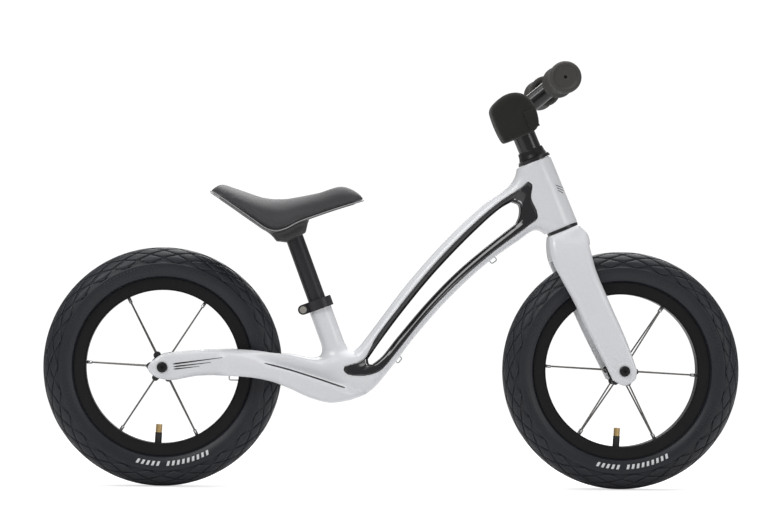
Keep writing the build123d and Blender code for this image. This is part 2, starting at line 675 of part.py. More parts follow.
def handlebar():
    """Straight handlebar tube."""
    tube = Cylinder(BAR_R, 2 * BAR_HALF) - Cylinder(BAR_R - BAR_WALL, 2 * BAR_HALF)
    return STEER * (Pos(BAR_FORWARD, 0, BAR_UP) * (Rot(90, 0, 0) * tube))


def grip(side):
    """Rubber grip with a flange at each end and a small hole in its end wall."""
    profile = [(BAR_R, GRIP_START_Y), (18.6, GRIP_START_Y), (19.3, GRIP_START_Y + 1.6),
               (18.4, GRIP_START_Y + 3.6), (15.2, GRIP_START_Y + 5), (14.6, GRIP_START_Y + 12),
               (14.6, 168), (16.2, 174), (18.7, 178), (19.5, 182), (19.5, 190), (18.4, 193.4),
               (16.2, GRIP_END_Y), (14.2, 193.6), (12, 192.6), (1.8, 192.2), (1.8, BAR_HALF),
               (BAR_R, BAR_HALF)]
    solid = revolve(make_face(Polyline(*profile, close=True)), Axis.Y)
    if side < 0:
        solid = mirror(solid, about=Plane.XZ)
    return STEER * (Pos(BAR_FORWARD, 0, BAR_UP) * solid)


# ---------------------------------------------------------------- assembly

os.makedirs("parts", exist_ok=True)
for wheel_x, wheel_name in ((REAR_X, "rear"), (FRONT_X, "front")):
    wheel(wheel_x, wheel_name)

frame_loops = strap_loops()
node(frame(frame_loops), "frame")
node(frame_loops, "strap_loops")
node(slot_bezel(1), "slot_bezel_left")
node(slot_bezel(-1), "slot_bezel_right")
node(footrest_grips(), "footrest_grips")
node(seat_clamp(), "seat_clamp")
node(seat_clamp_bolt(), "seat_clamp_bolt")

node(seat_post(), "seat_post")
shell = saddle_base()
node(shell, "saddle_base")
node(saddle_cover(shell), "saddle_cover")

node(fork(), "fork")
node(steerer(), "steerer_tube")
headset()
node(stem(), "stem")
node(stem_clamp_bolts(), "stem_clamp_bolts")
node(top_cap(), "steerer_top_cap")
node(stem_pad(), "stem_pad")
node(handlebar(), "handlebar")
node(grip(1), "grip_left")
node(grip(-1), "grip_right")
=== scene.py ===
"""Looks of a child's balance bike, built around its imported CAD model.

Sizes in the classes are millimetres in the model's own frame: +X forward, +Y to the rider's
left, +Z up, with the origin on the ground halfway between the axles. Meshes are written in metres.
"""
import json
import logging
import math
from dataclasses import dataclass
from enum import Enum
from typing import Callable, Dict, List, Optional, Sequence, Tuple

import bpy
import numpy as np
import openvdb
from mathutils import Matrix, Vector
from mathutils.bvhtree import BVHTree

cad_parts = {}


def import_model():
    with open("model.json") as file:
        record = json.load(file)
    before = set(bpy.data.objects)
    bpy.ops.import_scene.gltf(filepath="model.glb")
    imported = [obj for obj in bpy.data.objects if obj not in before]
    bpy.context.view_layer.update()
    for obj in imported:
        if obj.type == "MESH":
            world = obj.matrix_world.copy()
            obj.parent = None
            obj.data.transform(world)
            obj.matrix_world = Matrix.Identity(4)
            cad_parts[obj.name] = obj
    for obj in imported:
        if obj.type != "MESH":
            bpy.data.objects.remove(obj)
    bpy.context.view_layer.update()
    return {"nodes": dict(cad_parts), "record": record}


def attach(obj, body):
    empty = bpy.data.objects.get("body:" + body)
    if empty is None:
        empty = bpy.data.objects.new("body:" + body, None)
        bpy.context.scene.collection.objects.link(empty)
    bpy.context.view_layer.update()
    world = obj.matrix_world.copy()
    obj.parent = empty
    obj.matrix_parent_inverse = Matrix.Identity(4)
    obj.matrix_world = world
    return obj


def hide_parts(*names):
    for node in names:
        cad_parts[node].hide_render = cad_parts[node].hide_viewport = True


LOG = logging.getLogger("balance_bike")
MM = 0.001
SHARP = 1e-4
Colour = Tuple[float, float, float]
Point = Tuple[float, float]
Field = Callable[[np.ndarray, np.ndarray, np.ndarray], np.ndarray]


# ---------------------------------------------------------------- node trees

class Wire:
    """One node output. Python's operators on it add Math nodes."""

    def __init__(self, graph: "Graph", socket: bpy.types.NodeSocket) -> None:
        """Keep the graph that new nodes are added to."""
        self.graph = graph
        self.socket = socket

    def out(self, name: str) -> "Wire":
        """Another output of the same node."""
        return Wire(self.graph, self.socket.node.outputs[name])

    def maths(self, operation: str, *values: object) -> "Wire":
        """A Math node on these values, in this order."""
        return self.graph.node("ShaderNodeMath", {"operation": operation}, dict(enumerate(values)))

    def __add__(self, other: object) -> "Wire":
        """Sum."""
        return self.maths("ADD", self, other)

    __radd__ = __add__

    def __sub__(self, other: object) -> "Wire":
        """Difference."""
        return self.maths("SUBTRACT", self, other)

    def __rsub__(self, other: object) -> "Wire":
        """Difference, from a number."""
        return self.maths("SUBTRACT", other, self)

    def __mul__(self, other: object) -> "Wire":
        """Product."""
        return self.maths("MULTIPLY", self, other)

    __rmul__ = __mul__

    def __truediv__(self, other: object) -> "Wire":
        """Quotient."""
        return self.maths("DIVIDE", self, other)

    def __pow__(self, other: object) -> "Wire":
        """Power."""
        return self.maths("POWER", self, other)

    def size(self) -> "Wire":
        """Absolute value."""
        return self.maths("ABSOLUTE", self)

    def sine(self) -> "Wire":
        """Sine, in radians."""
        return self.maths("SINE", self)

    def cosine(self) -> "Wire":
        """Cosine, in radians."""
        return self.maths("COSINE", self)


class Graph:
    """Adds nodes to one shader or geometry tree."""

    def __init__(self, tree: bpy.types.NodeTree) -> None:
        """Keep the tree."""
        self.tree = tree

    def node(self, kind: str, settings: Optional[Dict[str, object]] = None,
             inputs: Optional[Dict[object, object]] = None, out: object = 0) -> Wire:
        """Add one node.

        Args:
            kind: Blender's name of the node type.
            settings: properties that are set first; "stops" sets a ramp's places and colours.
            inputs: values or wires, by socket name or number.
            out: the output that the wire stands for.

        Returns:
            The wire of that output.
        """
        made = self.tree.nodes.new(kind)
        for name, value in (settings or {}).items():
            if name == "stops":
                self.set_stops(made.color_ramp, value)
            else:
                setattr(made, name, value)
        for key, value in (inputs or {}).items():
            self.feed(made.inputs[key], value)
        return Wire(self, made.outputs[out])

    def feed(self, socket: bpy.types.NodeSocket, value: object) -> None:
        """Link a wire to a socket, or set its value."""
        if isinstance(value, Wire):
            self.tree.links.new(value.socket, socket)
        else:
            socket.default_value = value

    def set_stops(self, ramp: bpy.types.ColorRamp, stops: Sequence[Tuple[float, Colour]]) -> None:
        """Give a colour ramp its stops, in rising order."""
        while len(ramp.elements) > len(stops):
            ramp.elements.remove(ramp.elements[-1])
        while len(ramp.elements) < len(stops):
            ramp.elements.new(1.0)
        for element, (place, colour) in zip(ramp.elements, stops):
            element.position = place
            element.color = (*colour, 1.0)

    def mix(self, factor: object, low: object, high: object) -> Wire:
        """Blend two colours by a factor."""
        low = (*low, 1.0) if isinstance(low, tuple) else low
        high = (*high, 1.0) if isinstance(high, tuple) else high
        return self.node("ShaderNodeMix", {"data_type": "RGBA"}, {0: factor, 6: low, 7: high}, 2)


# ---------------------------------------------------------------- finishes

class Grain(Enum):
    """The small relief of a surface."""

    SPECKLE = "fine noise"
    PEBBLE = "leather-like cells"
    TURNED = "rings of a lathe or a polishing belt"
    KNIT = "crossed threads"
    STUDS = "rows of small domes"


@dataclass(frozen=True)
class Finish:
    """One surface finish: a record slot's colour, gloss and relief."""

    slot: str
    colour: Colour
    tint: Colour
    roughness: float
    spread: float = 0.06
    metallic: float = 0.0
    coat: float = 0.0
    coat_roughness: float = 0.08
    sheen: float = 0.0
    grain: Grain = Grain.SPECKLE
    per_metre: float = 900.0
    relief: float = 0.02
    patch_per_metre: float = 14.0
    # strength of the painted highlight on sharp edges
    edge_light: float = 0.0
    specular: float = 0.5
    glow: float = 0.0

    def build(self) -> bpy.types.Material:
        """Make the material, once for each slot.

        Returns:
            The node-based material of this finish.
        """
        name = f"finish_{self.slot}"
        if name in bpy.data.materials:
            return bpy.data.materials[name]
        material = bpy.data.materials.new(name)
        material.use_nodes = True
        material.diffuse_color = (*self.colour, 1.0)
        material.node_tree.nodes.clear()
        graph = Graph(material.node_tree)
        where = graph.node("ShaderNodeTexCoord", out="Object")
        patches = graph.node("ShaderNodeTexNoise", {}, {
            "Vector": where, "Scale": self.patch_per_metre, "Detail": 5.0, "Roughness": 0.6})
        height = self.height(graph, where)
        shade = self.shade(graph, patches, height)
        bump = graph.node("ShaderNodeBump", {}, {
            "Strength": 1.0, "Distance": self.relief * MM, "Height": height})
        shader = graph.node("ShaderNodeBsdfPrincipled", {}, {
            "Base Color": shade,
            "Roughness": (self.roughness + (patches - 0.5) * (2 * self.spread)
                          + (height - 0.5) * self.spread),
            "Metallic": self.metallic, "Coat Weight": self.coat,
            "Coat Roughness": self.coat_roughness, "Sheen Weight": self.sheen,
            "Sheen Roughness": 0.5, "Specular IOR Level": self.specular,
            "Emission Strength": self.glow, "Normal": bump})
        if self.glow:
            seen = graph.node("ShaderNodeLightPath", out="Is Camera Ray")
            graph.feed(shader.socket.node.inputs["Emission Color"], seen)
        output = material.node_tree.nodes.new("ShaderNodeOutputMaterial")
        graph.feed(output.inputs["Surface"], shader)
        return material

    def shade(self, graph: Graph, patches: Wire, height: Wire) -> Wire:
        """Base colour: two tones in soft patches, with painted shade in the low parts of the relief
        and a painted highlight on sharp edges.
        """
        tone = graph.mix(patches, self.colour, self.tint)
        # painted shade: the low parts of the relief are darkened towards a dim copy of the colour
        deep = graph.mix((1.0 - height) * 0.22, tone, tuple(c * 0.55 for c in self.colour))
        if not self.edge_light:
            return deep
        # painted highlight: sharp edges, found by pointiness, are lightened towards a bright copy
        # of the tint
        corner = graph.node("ShaderNodeNewGeometry", out="Pointiness")
        edge_highlight = graph.node("ShaderNodeValToRGB", {"stops": [(0.515, (0, 0, 0)), (0.60, (1, 1, 1))]},
                          {"Fac": corner})
        return graph.mix(edge_highlight * self.edge_light, deep, tuple(
            min(1.0, c * 1.6 + 0.05) for c in self.tint))

    def height(self, graph: Graph, where: Wire) -> Wire:
        """Relief from 0 to 1 at each point of the surface."""
        scale = self.per_metre
        fine = graph.node("ShaderNodeTexNoise", {}, {
            "Vector": where, "Scale": scale, "Detail": 3.0, "Roughness": 0.55})
        if self.grain is Grain.SPECKLE:
            return fine
        if self.grain is Grain.PEBBLE:
            cells = graph.node("ShaderNodeTexVoronoi", {"feature": "SMOOTH_F1"}, {
                "Vector": where, "Scale": scale, "Smoothness": 0.6})
            return (1.0 - cells) * 0.7 + fine * 0.3
        if self.grain is Grain.TURNED:
            rings = graph.node("ShaderNodeTexWave", {"bands_direction": "Y"}, {
                "Vector": where, "Scale": scale, "Distortion": 1.2, "Detail": 2.0})
            return rings * 0.6 + fine * 0.4
        apart = graph.node("ShaderNodeSeparateXYZ", {}, {"Vector": where})
        turns = 2 * math.pi * scale
        slope = (apart * turns + apart.out("Z") * (turns * 0.45)).sine()
        across = (apart.out("Z") * turns + apart.out("Y") * turns).sine()
        if self.grain is Grain.KNIT:
            return (slope * across) * 0.4 + 0.4 + fine * 0.2
        return ((apart * turns).sine() * (apart.out("Y") * turns).sine()).size() * 0.8 + fine * 0.2


FINISHES = {finish.slot: finish for finish in (
    Finish("frame_paint", (0.79, 0.80, 0.83), (0.84, 0.845, 0.87), 0.30, 0.04, coat=0.45,
           coat_roughness=0.12, per_metre=420.0, relief=0.012),
    Finish("bezel_gloss", (0.006, 0.006, 0.008), (0.012, 0.012, 0.015), 0.16, 0.03, coat=0.7,
           per_metre=500.0, relief=0.006),
    Finish("grip_tape", (0.035, 0.035, 0.042), (0.05, 0.05, 0.058), 0.75, grain=Grain.STUDS,
           per_metre=220.0, relief=0.35),
    Finish("loop_wire", (0.55, 0.56, 0.57), (0.65, 0.66, 0.67), 0.30, metallic=1.0,
           grain=Grain.TURNED, per_metre=900.0, relief=0.01),
    Finish("clamp_black", (0.016, 0.016, 0.018), (0.026, 0.026, 0.03), 0.36, metallic=0.4,
           grain=Grain.TURNED, per_metre=600.0, relief=0.01, edge_light=0.15),
    Finish("bolt_steel", (0.60, 0.57, 0.50), (0.72, 0.70, 0.66), 0.28, metallic=1.0,
           grain=Grain.TURNED, per_metre=1200.0, relief=0.01),
    Finish("bolt_black", (0.012, 0.012, 0.013), (0.022, 0.022, 0.024), 0.34, metallic=0.5,
           per_metre=1500.0, relief=0.01, edge_light=0.2),
    Finish("bearing_steel", (0.5, 0.5, 0.5), (0.6, 0.6, 0.6), 0.25, metallic=1.0,
           grain=Grain.TURNED, per_metre=900.0, relief=0.01),
    Finish("axle_steel", (0.38, 0.38, 0.39), (0.48, 0.48, 0.48), 0.3, metallic=1.0,
           grain=Grain.TURNED, per_metre=900.0, relief=0.01),
    Finish("post_black", (0.020, 0.020, 0.023), (0.030, 0.030, 0.034), 0.40, metallic=0.3,
           per_metre=1600.0, relief=0.012),
    Finish("stem_black", (0.013, 0.013, 0.013), (0.022, 0.022, 0.021), 0.22, metallic=0.35,
           coat=0.4, per_metre=1200.0, relief=0.008),
    Finish("headset_black", (0.014, 0.014, 0.015), (0.022, 0.022, 0.023), 0.32, metallic=0.3,
           grain=Grain.TURNED, per_metre=700.0, relief=0.01, edge_light=0.12),
    Finish("saddle_shell", (0.030, 0.030, 0.032), (0.042, 0.042, 0.044), 0.46,
           per_metre=1800.0, relief=0.04),
    Finish("saddle_vinyl", (0.050, 0.050, 0.054), (0.066, 0.066, 0.071), 0.50, 0.05,
           grain=Grain.PEBBLE, per_metre=1100.0, relief=0.035, specular=0.4),
    Finish("pad_neoprene", (0.016, 0.016, 0.014), (0.026, 0.026, 0.023), 0.90, 0.03, sheen=0.08,
           grain=Grain.KNIT, per_metre=560.0, relief=0.12, specular=0.3),
    Finish("grip_rubber", (0.045, 0.043, 0.041), (0.062, 0.059, 0.056), 0.58,
           per_metre=1500.0, relief=0.05),
    Finish("tyre_rubber", (0.010, 0.011, 0.015), (0.018, 0.020, 0.027), 0.44, 0.05,
           per_metre=1300.0, relief=0.05, edge_light=0.10, specular=0.45),
    Finish("tube_rubber", (0.012, 0.012, 0.012), (0.02, 0.02, 0.02), 0.7, per_metre=900.0),
    Finish("rim_black", (0.003, 0.003, 0.004), (0.006, 0.006, 0.007), 0.34,
           per_metre=1400.0, relief=0.01, edge_light=0.2, specular=0.15),
    Finish("spoke_steel", (0.14, 0.13, 0.125), (0.22, 0.21, 0.20), 0.34, metallic=0.9,
           grain=Grain.TURNED, per_metre=500.0, relief=0.006),
    Finish("nipple_steel", (0.60, 0.60, 0.60), (0.72, 0.72, 0.72), 0.26, metallic=1.0,
           per_metre=1200.0, relief=0.01),
    Finish("valve_rubber", (0.016, 0.016, 0.016), (0.026, 0.026, 0.026), 0.55, per_metre=1500.0,
           relief=0.03),
    Finish("valve_brass", (0.50, 0.33, 0.13), (0.62, 0.44, 0.20), 0.30, metallic=0.9,
           grain=Grain.TURNED, per_metre=1200.0, relief=0.02, edge_light=0.2),
    Finish("hub_black", (0.010, 0.010, 0.011), (0.018, 0.018, 0.019), 0.38, metallic=0.35,
           per_metre=1200.0, relief=0.015, edge_light=0.25),
)}
PRINT_WHITE = Finish("sidewall_print", (0.72, 0.73, 0.74), (0.80, 0.81, 0.82), 0.5,
                     per_metre=1500.0, relief=0.02)
PIPING_GREY = Finish("saddle_piping", (0.34, 0.34, 0.35), (0.44, 0.44, 0.45), 0.45,
                     per_metre=1500.0, relief=0.02)


# ---------------------------------------------------------------- curves and distances

def smooth_line(points: Sequence[Point], steps: int = 10) -> np.ndarray:
    """A smooth line through points.

    Args:
        points: places that the line passes, in order; two make a straight line.
        steps: how many short pieces each span has.

    Returns:
        The line's points, one row each.
    """
    known = np.array(points, float)
    if len(known) == 2:
        return known
    padded = np.vstack([2 * known[0] - known[1], known, 2 * known[-1] - known[-2]])
    gaps = np.maximum(np.linalg.norm(np.diff(padded, axis=0), axis=1), 1e-9) ** 0.5
    knots = np.concatenate([[0.0], np.cumsum(gaps)])
    pieces = []
    for index in range(1, len(padded) - 2):
        a, b, c, d = padded[index - 1:index + 3]
        ta, tb, tc, td = knots[index - 1:index + 3]
        t = np.linspace(tb, tc, steps, endpoint=False)[:, None]
        ab = a * (tb - t) / (tb - ta) + b * (t - ta) / (tb - ta)
        bc = b * (tc - t) / (tc - tb) + c * (t - tb) / (tc - tb)
        cd = c * (td - t) / (td - tc) + d * (t - tc) / (td - tc)
        abc = ab * (tc - t) / (tc - ta) + bc * (t - ta) / (tc - ta)
        bcd = bc * (td - t) / (td - tb) + cd * (t - tb) / (td - tb)
        pieces.append(abc * (tc - t) / (tc - tb) + bcd * (t - tb) / (tc - tb))
    return np.vstack(pieces + [known[-1:]])


def even_steps(line: np.ndarray, count: int) -> np.ndarray:
    """The same line as count points, evenly spaced along it."""
    length = np.concatenate([[0.0], np.cumsum(np.linalg.norm(np.diff(line, axis=0), axis=1))])
    places = np.linspace(0.0, length[-1], count)
    return np.stack([np.interp(places, length, line[:, axis]) for axis in range(line.shape[1])], 1)


class Outline:
    """A closed flat outline made of smooth runs, end to end."""

    def __init__(self, *runs: Sequence[Point]) -> None:
        """Join the runs; a run may have two points, for a straight edge."""
        self.points = np.vstack([smooth_line(run)[:-1] for run in runs])

    def distance(self, u: np.ndarray, v: np.ndarray) -> np.ndarray:
        """Distance to the outline, negative inside it, at each place (u, v)."""
        u, v = np.broadcast_arrays(np.asarray(u, float), np.asarray(v, float))
        places = np.stack([u.ravel(), v.ravel()], 1)
        start = self.points
        edge = np.roll(start, -1, 0) - start
        squared = np.maximum((edge ** 2).sum(1), 1e-12)
        result = np.empty(len(places))
        for low in range(0, len(places), 8192):
            part = places[low:low + 8192]
            away = part[:, None, :] - start[None]
            share = np.clip((away * edge).sum(2) / squared, 0.0, 1.0)
            near = np.sqrt((((away - share[..., None] * edge) ** 2).sum(2)).min(1))
            above = start[:, 1] > part[:, 1:2]
            crossing = above != np.roll(above, -1, 1)
            rise = np.where(np.abs(edge[:, 1]) < 1e-12, 1e-12, edge[:, 1])
            meets = start[:, 0] + (part[:, 1:2] - start[:, 1]) / rise * edge[:, 0]
            inside = (crossing & (part[:, 0:1] < meets)).sum(1) % 2 == 1
            result[low:low + 8192] = np.where(inside, -near, near)
        return result.reshape(u.shape)


def along_line(line: np.ndarray, place: np.ndarray) -> np.ndarray:
    """The second value of a line of pairs, where the first is place."""
    return np.interp(place, line[:, 0], line[:, 1])


def between(value: np.ndarray, low: float, high: float) -> np.ndarray:
    """Distance to a range of values, negative inside it."""
    return np.maximum(low - value, value - high)


def standing(flat: np.ndarray, level: object) -> np.ndarray:
    """Points (x, z) with their y put in."""
    return np.stack([flat[:, 0], np.broadcast_to(level, len(flat)), flat[:, 1]], 1)


def common(a: np.ndarray, b: np.ndarray, ease: object = SHARP) -> np.ndarray:
    """What two distance fields share, with the edge between them eased."""
    return np.maximum(a, b) + np.maximum(ease - np.abs(a - b), 0.0) ** 2 / (4 * ease)


def joined(a: np.ndarray, b: np.ndarray, ease: object = SHARP) -> np.ndarray:
    """Two distance fields as one body, with a fillet between them."""
    return -common(-a, -b, ease)


def without(body: np.ndarray, cutter: np.ndarray, ease: object = SHARP) -> np.ndarray:
    """A body with a cutter taken away."""
    return common(body, -cutter, ease)


@dataclass(frozen=True)
class Line:
    """A sloping axis in the mid-plane, such as the steering axis."""

    x: float
    z: float
    angle: float

    @property
    def cos(self) -> float:
        """Cosine of the angle from the ground."""
        return math.cos(math.radians(self.angle))

    @property
    def sin(self) -> float:
        """Sine of the angle from the ground."""
        return math.sin(math.radians(self.angle))

    def up(self, x: np.ndarray, z: np.ndarray) -> np.ndarray:
        """How far up the axis a place is."""
        return (z - self.z) * self.sin - (x - self.x) * self.cos

    def ahead(self, x: np.ndarray, z: np.ndarray) -> np.ndarray:
        """How far in front of the axis a place is."""
        return (x - self.x) * self.sin + (z - self.z) * self.cos

    def off(self, x: np.ndarray, y: np.ndarray, z: np.ndarray) -> np.ndarray:
        """How far from the axis a place is."""
        return np.hypot(self.ahead(x, z), y)

    def place(self, ahead: float, y: float, up: float) -> Tuple[float, float, float]:
        """The point at a distance in front of, beside and up the axis."""
        return (self.x + ahead * self.sin - up * self.cos, y,
                self.z + ahead * self.cos + up * self.sin)


# ---------------------------------------------------------------- meshes

def new_object(name: str, data: bpy.types.ID) -> bpy.types.Object:
    """An object that holds this data, in the scene."""
    made = bpy.data.objects.new(name, data)
    bpy.context.scene.collection.objects.link(made)
    return made


def shade_smooth(mesh: bpy.types.Mesh) -> None:
    """Shade every face smooth."""
    mesh.polygons.foreach_set("use_smooth", [True] * len(mesh.polygons))


def make_piece(name: str, points: np.ndarray, faces: Sequence[Sequence[int]]) -> bpy.types.Object:
    """A smooth-shaded mesh object.

    Args:
        name: the object's name.
        points: places in millimetres.
        faces: vertex numbers of each face, facing outwards.

    Returns:
        The new object, at the origin.
    """
    mesh = bpy.data.meshes.new(name)
    mesh.from_pydata((np.asarray(points, float) * MM).tolist(), [], [list(f) for f in faces])
    mesh.validate()
    shade_smooth(mesh)
    return new_object(name, mesh)


def outwards(piece: bpy.types.Object) -> bpy.types.Object:
    """Turn a closed mesh's faces outwards."""
    mesh = piece.data
    mesh.calc_loop_triangles()
    volume = 0.0
    for triangle in mesh.loop_triangles:
        a, b, c = (mesh.vertices[i].co for i in triangle.vertices)
        volume += a.dot(b.cross(c))
    if volume < 0:
        mesh.flip_normals()
    return piece


def skin(name: str, shape: Field, low: Sequence[float], high: Sequence[float],
         step: float) -> bpy.types.Object:
    """The surface of a distance field as an even mesh.

    Args:
        name: the object's name.
        shape: distance to the surface in millimetres, negative inside.
        low: lowest corner of the space that is searched.
        high: highest corner of it.
        step: size of the mesh's squares.

    Returns:
        The closed mesh, with its points moved on to the exact surface.
    """
    axes = [np.arange(low[i] - 2 * step, high[i] + 3 * step, step) for i in range(3)]
    x, y, z = np.meshgrid(*axes, indexing="ij", sparse=True)
    values = np.array(np.clip(shape(x, y, z), -3 * step, 3 * step), np.float32, order="C")
    grid = openvdb.FloatGrid(3 * step)
    grid.copyFromArray(values)
    points, quads = grid.convertToQuads()
    corner = np.array([a[0] for a in axes])
    points = np.asarray(points, float) * step + corner
    piece = outwards(make_piece(name, points, np.asarray(quads)))
    for _ in range(2):
        points = settle(piece, points, shape, step)
    return piece


def settle(piece: bpy.types.Object, points: np.ndarray, shape: Field, step: float) -> np.ndarray:
    """Move each point of a mesh along its normal on to the field's surface."""
    normals = np.zeros(len(points) * 3, np.float32)
    piece.data.vertex_normals.foreach_get("vector", normals)
    normals = normals.reshape(-1, 3)
    gap = np.clip(shape(points[:, 0], points[:, 1], points[:, 2]), -0.3 * step, 0.3 * step)
    points = points - gap[:, None] * normals
    piece.data.vertices.foreach_set("co", (points * MM).astype(np.float32).ravel())
    piece.data.update()
    return points


def tube_faces(rings: int, around: int, closed: bool) -> List[Tuple[int, int, int, int]]:
    """Faces between rings of points, in order, with the last joined to the first if closed."""
    faces = []
    for ring in range(rings if closed else rings - 1):
        for step in range(around):
            after = (step + 1) % around
            low = ring * around
            high = ((ring + 1) % rings) * around
            faces.append((low + step, low + after, high + after, high + step))
    return faces


def spun(name: str, profile: Sequence[Point], x: float, z: float, steps: int) -> bpy.types.Object:
    """A closed profile of (radius, y) spun about a line parallel to Y.

    Args:
        name: the object's name.
        profile: the closed section, in order.
        x: where the line is.
        z: how high the line is.
        steps: how many facets it has around.

    Returns:
        The ring-shaped mesh.
    """
    section = np.array(profile, float)
    turns = np.linspace(0.0, 2 * math.pi, steps, endpoint=False)
    points = np.stack([x + np.outer(np.cos(turns), section[:, 0]),
                       np.tile(section[:, 1], (steps, 1)),
                       z + np.outer(np.sin(turns), section[:, 0])], 2).reshape(-1, 3)
    return outwards(make_piece(name, points, tube_faces(steps, len(section), True)))


def loft(name: str, rings: np.ndarray) -> bpy.types.Object:
    """Rings of points joined into a closed body, with a fan at each end."""
    count, around, _ = rings.shape
    points = np.vstack([rings.reshape(-1, 3), rings[0].mean(0), rings[-1].mean(0)])
    faces = tube_faces(count, around, False)
    first, last = count * around, count * around + 1
    top = (count - 1) * around
    for step in range(around):
        after = (step + 1) % around
        faces.append((first, after, step))
        faces.append((last, top + step, top + after))
    return outwards(make_piece(name, points, faces))


def edge_of(shape: Field, x: np.ndarray, z: np.ndarray, outside: float,
            inside: float) -> np.ndarray:
    """The y of a field's surface at each (x, z), between an outer and an inner y."""
    out = np.full(len(x), float(outside))
    deep = np.full(len(x), float(inside))
    for _ in range(24):
        middle = (out + deep) / 2
        hit = shape(x, middle, z) < 0
        deep = np.where(hit, middle, deep)
        out = np.where(hit, out, middle)
    return (out + deep) / 2


def patch(name: str, grid: np.ndarray, depth: np.ndarray) -> bpy.types.Object:
    """A thin closed patch: a grid of points, and the same grid moved by depth."""
    rows, columns, _ = grid.shape
    ring = [(0, j) for j in range(columns)] + [(i, columns - 1) for i in range(1, rows)]
    ring += [(rows - 1, j) for j in range(columns - 2, -1, -1)]
    ring += [(i, 0) for i in range(rows - 2, 0, -1)]
    total = rows * columns
    faces = []
    for i in range(rows - 1):
        for j in range(columns - 1):
            a = i * columns + j
            b = a + columns
            faces.append((a, a + 1, b + 1, b))
            faces.append((total + b, total + b + 1, total + a + 1, total + a))
    for (i, j), (k, m) in zip(ring, ring[1:] + ring[:1]):
        a = i * columns + j
        b = k * columns + m
        faces.append((b, a, total + a, total + b))
    points = np.vstack([grid.reshape(-1, 3), (grid + depth).reshape(-1, 3)])
    return outwards(make_piece(name, points, faces))


# ---------------------------------------------------------------- geometry node tools

class Repeater:
    """Base of the geometry trees: a tree with named inputs, run once on a mesh."""

    name = "repeater"
    inputs: Dict[str, str] = {}

    def tree(self) -> bpy.types.NodeTree:
        """The tree, made the first time it is asked for."""
        if self.name in bpy.data.node_groups:
            return bpy.data.node_groups[self.name]
        tree = bpy.data.node_groups.new(self.name, "GeometryNodeTree")
        tree.interface.new_socket("Geometry", in_out="INPUT", socket_type="NodeSocketGeometry")
        for name, kind in {**self.inputs, "Material": "NodeSocketMaterial"}.items():
            tree.interface.new_socket(name, in_out="INPUT", socket_type=kind)
        tree.interface.new_socket("Geometry", in_out="OUTPUT", socket_type="NodeSocketGeometry")
        graph = Graph(tree)
        given = graph.node("NodeGroupInput")
        shape = self.shape(graph, given)
        single = graph.node("GeometryNodeRealizeInstances", {}, {"Geometry": shape})
        smooth = graph.node("GeometryNodeSetShadeSmooth", {}, {
            "Geometry": single, "Shade Smooth": True})
        dressed = graph.node("GeometryNodeSetMaterial", {}, {
            "Geometry": smooth, "Material": given.out("Material")})
        end = tree.nodes.new("NodeGroupOutput")
        graph.feed(end.inputs[0], dressed)
        return tree

    def shape(self, graph: Graph, given: Wire) -> Wire:
        """The geometry before it is realized."""
        raise NotImplementedError

    def run(self, piece: bpy.types.Object, finish: Finish,
            values: Dict[str, object]) -> bpy.types.Object:
        """Replace a guide mesh by what the tree makes of it.

        Args:
            piece: object that holds the guide mesh.
            finish: the material that the result gets.
            values: the tree's inputs, by name.

        Returns:
            The same object, with the result as a plain mesh.
        """
        tree = self.tree()
        modifier = piece.modifiers.new(self.name, "NODES")
        modifier.node_group = tree
        sockets = {item.name: item.identifier for item in tree.interface.items_tree
                   if item.in_out == "INPUT"}
        for name, value in {**values, "Material": finish.build()}.items():
            modifier[sockets[name]] = value
        return bake(piece)


def bake(piece: bpy.types.Object) -> bpy.types.Object:
    """Turn an object's modifiers into plain mesh data."""
    bpy.context.view_layer.update()
    graph = bpy.context.evaluated_depsgraph_get()
    mesh = bpy.data.meshes.new_from_object(piece.evaluated_get(graph), depsgraph=graph)
    piece.modifiers.clear()
    piece.data = mesh
    return piece


def modify(piece: bpy.types.Object, kind: str, **settings: object) -> bpy.types.Object:
    """Apply one of Blender's modifiers, with these settings."""
    modifier = piece.modifiers.new(kind.lower(), kind)
    for name, value in settings.items():
        setattr(modifier, name, value)
    return bake(piece)


class RoundWire(Repeater):
    """Round wire along every line of the guide mesh."""

    name = "round_wire"
    inputs = {"Radius": "NodeSocketFloat", "Sides": "NodeSocketInt"}

    def shape(self, graph: Graph, given: Wire) -> Wire:
        """Lines to curves, and curves to tubes with closed ends."""
        curve = graph.node("GeometryNodeMeshToCurve", {}, {"Mesh": given})
        circle = graph.node("GeometryNodeCurvePrimitiveCircle", {}, {
            "Resolution": given.out("Sides"), "Radius": given.out("Radius")})
        return graph.node("GeometryNodeCurveToMesh", {}, {
            "Curve": curve, "Profile Curve": circle, "Fill Caps": True})


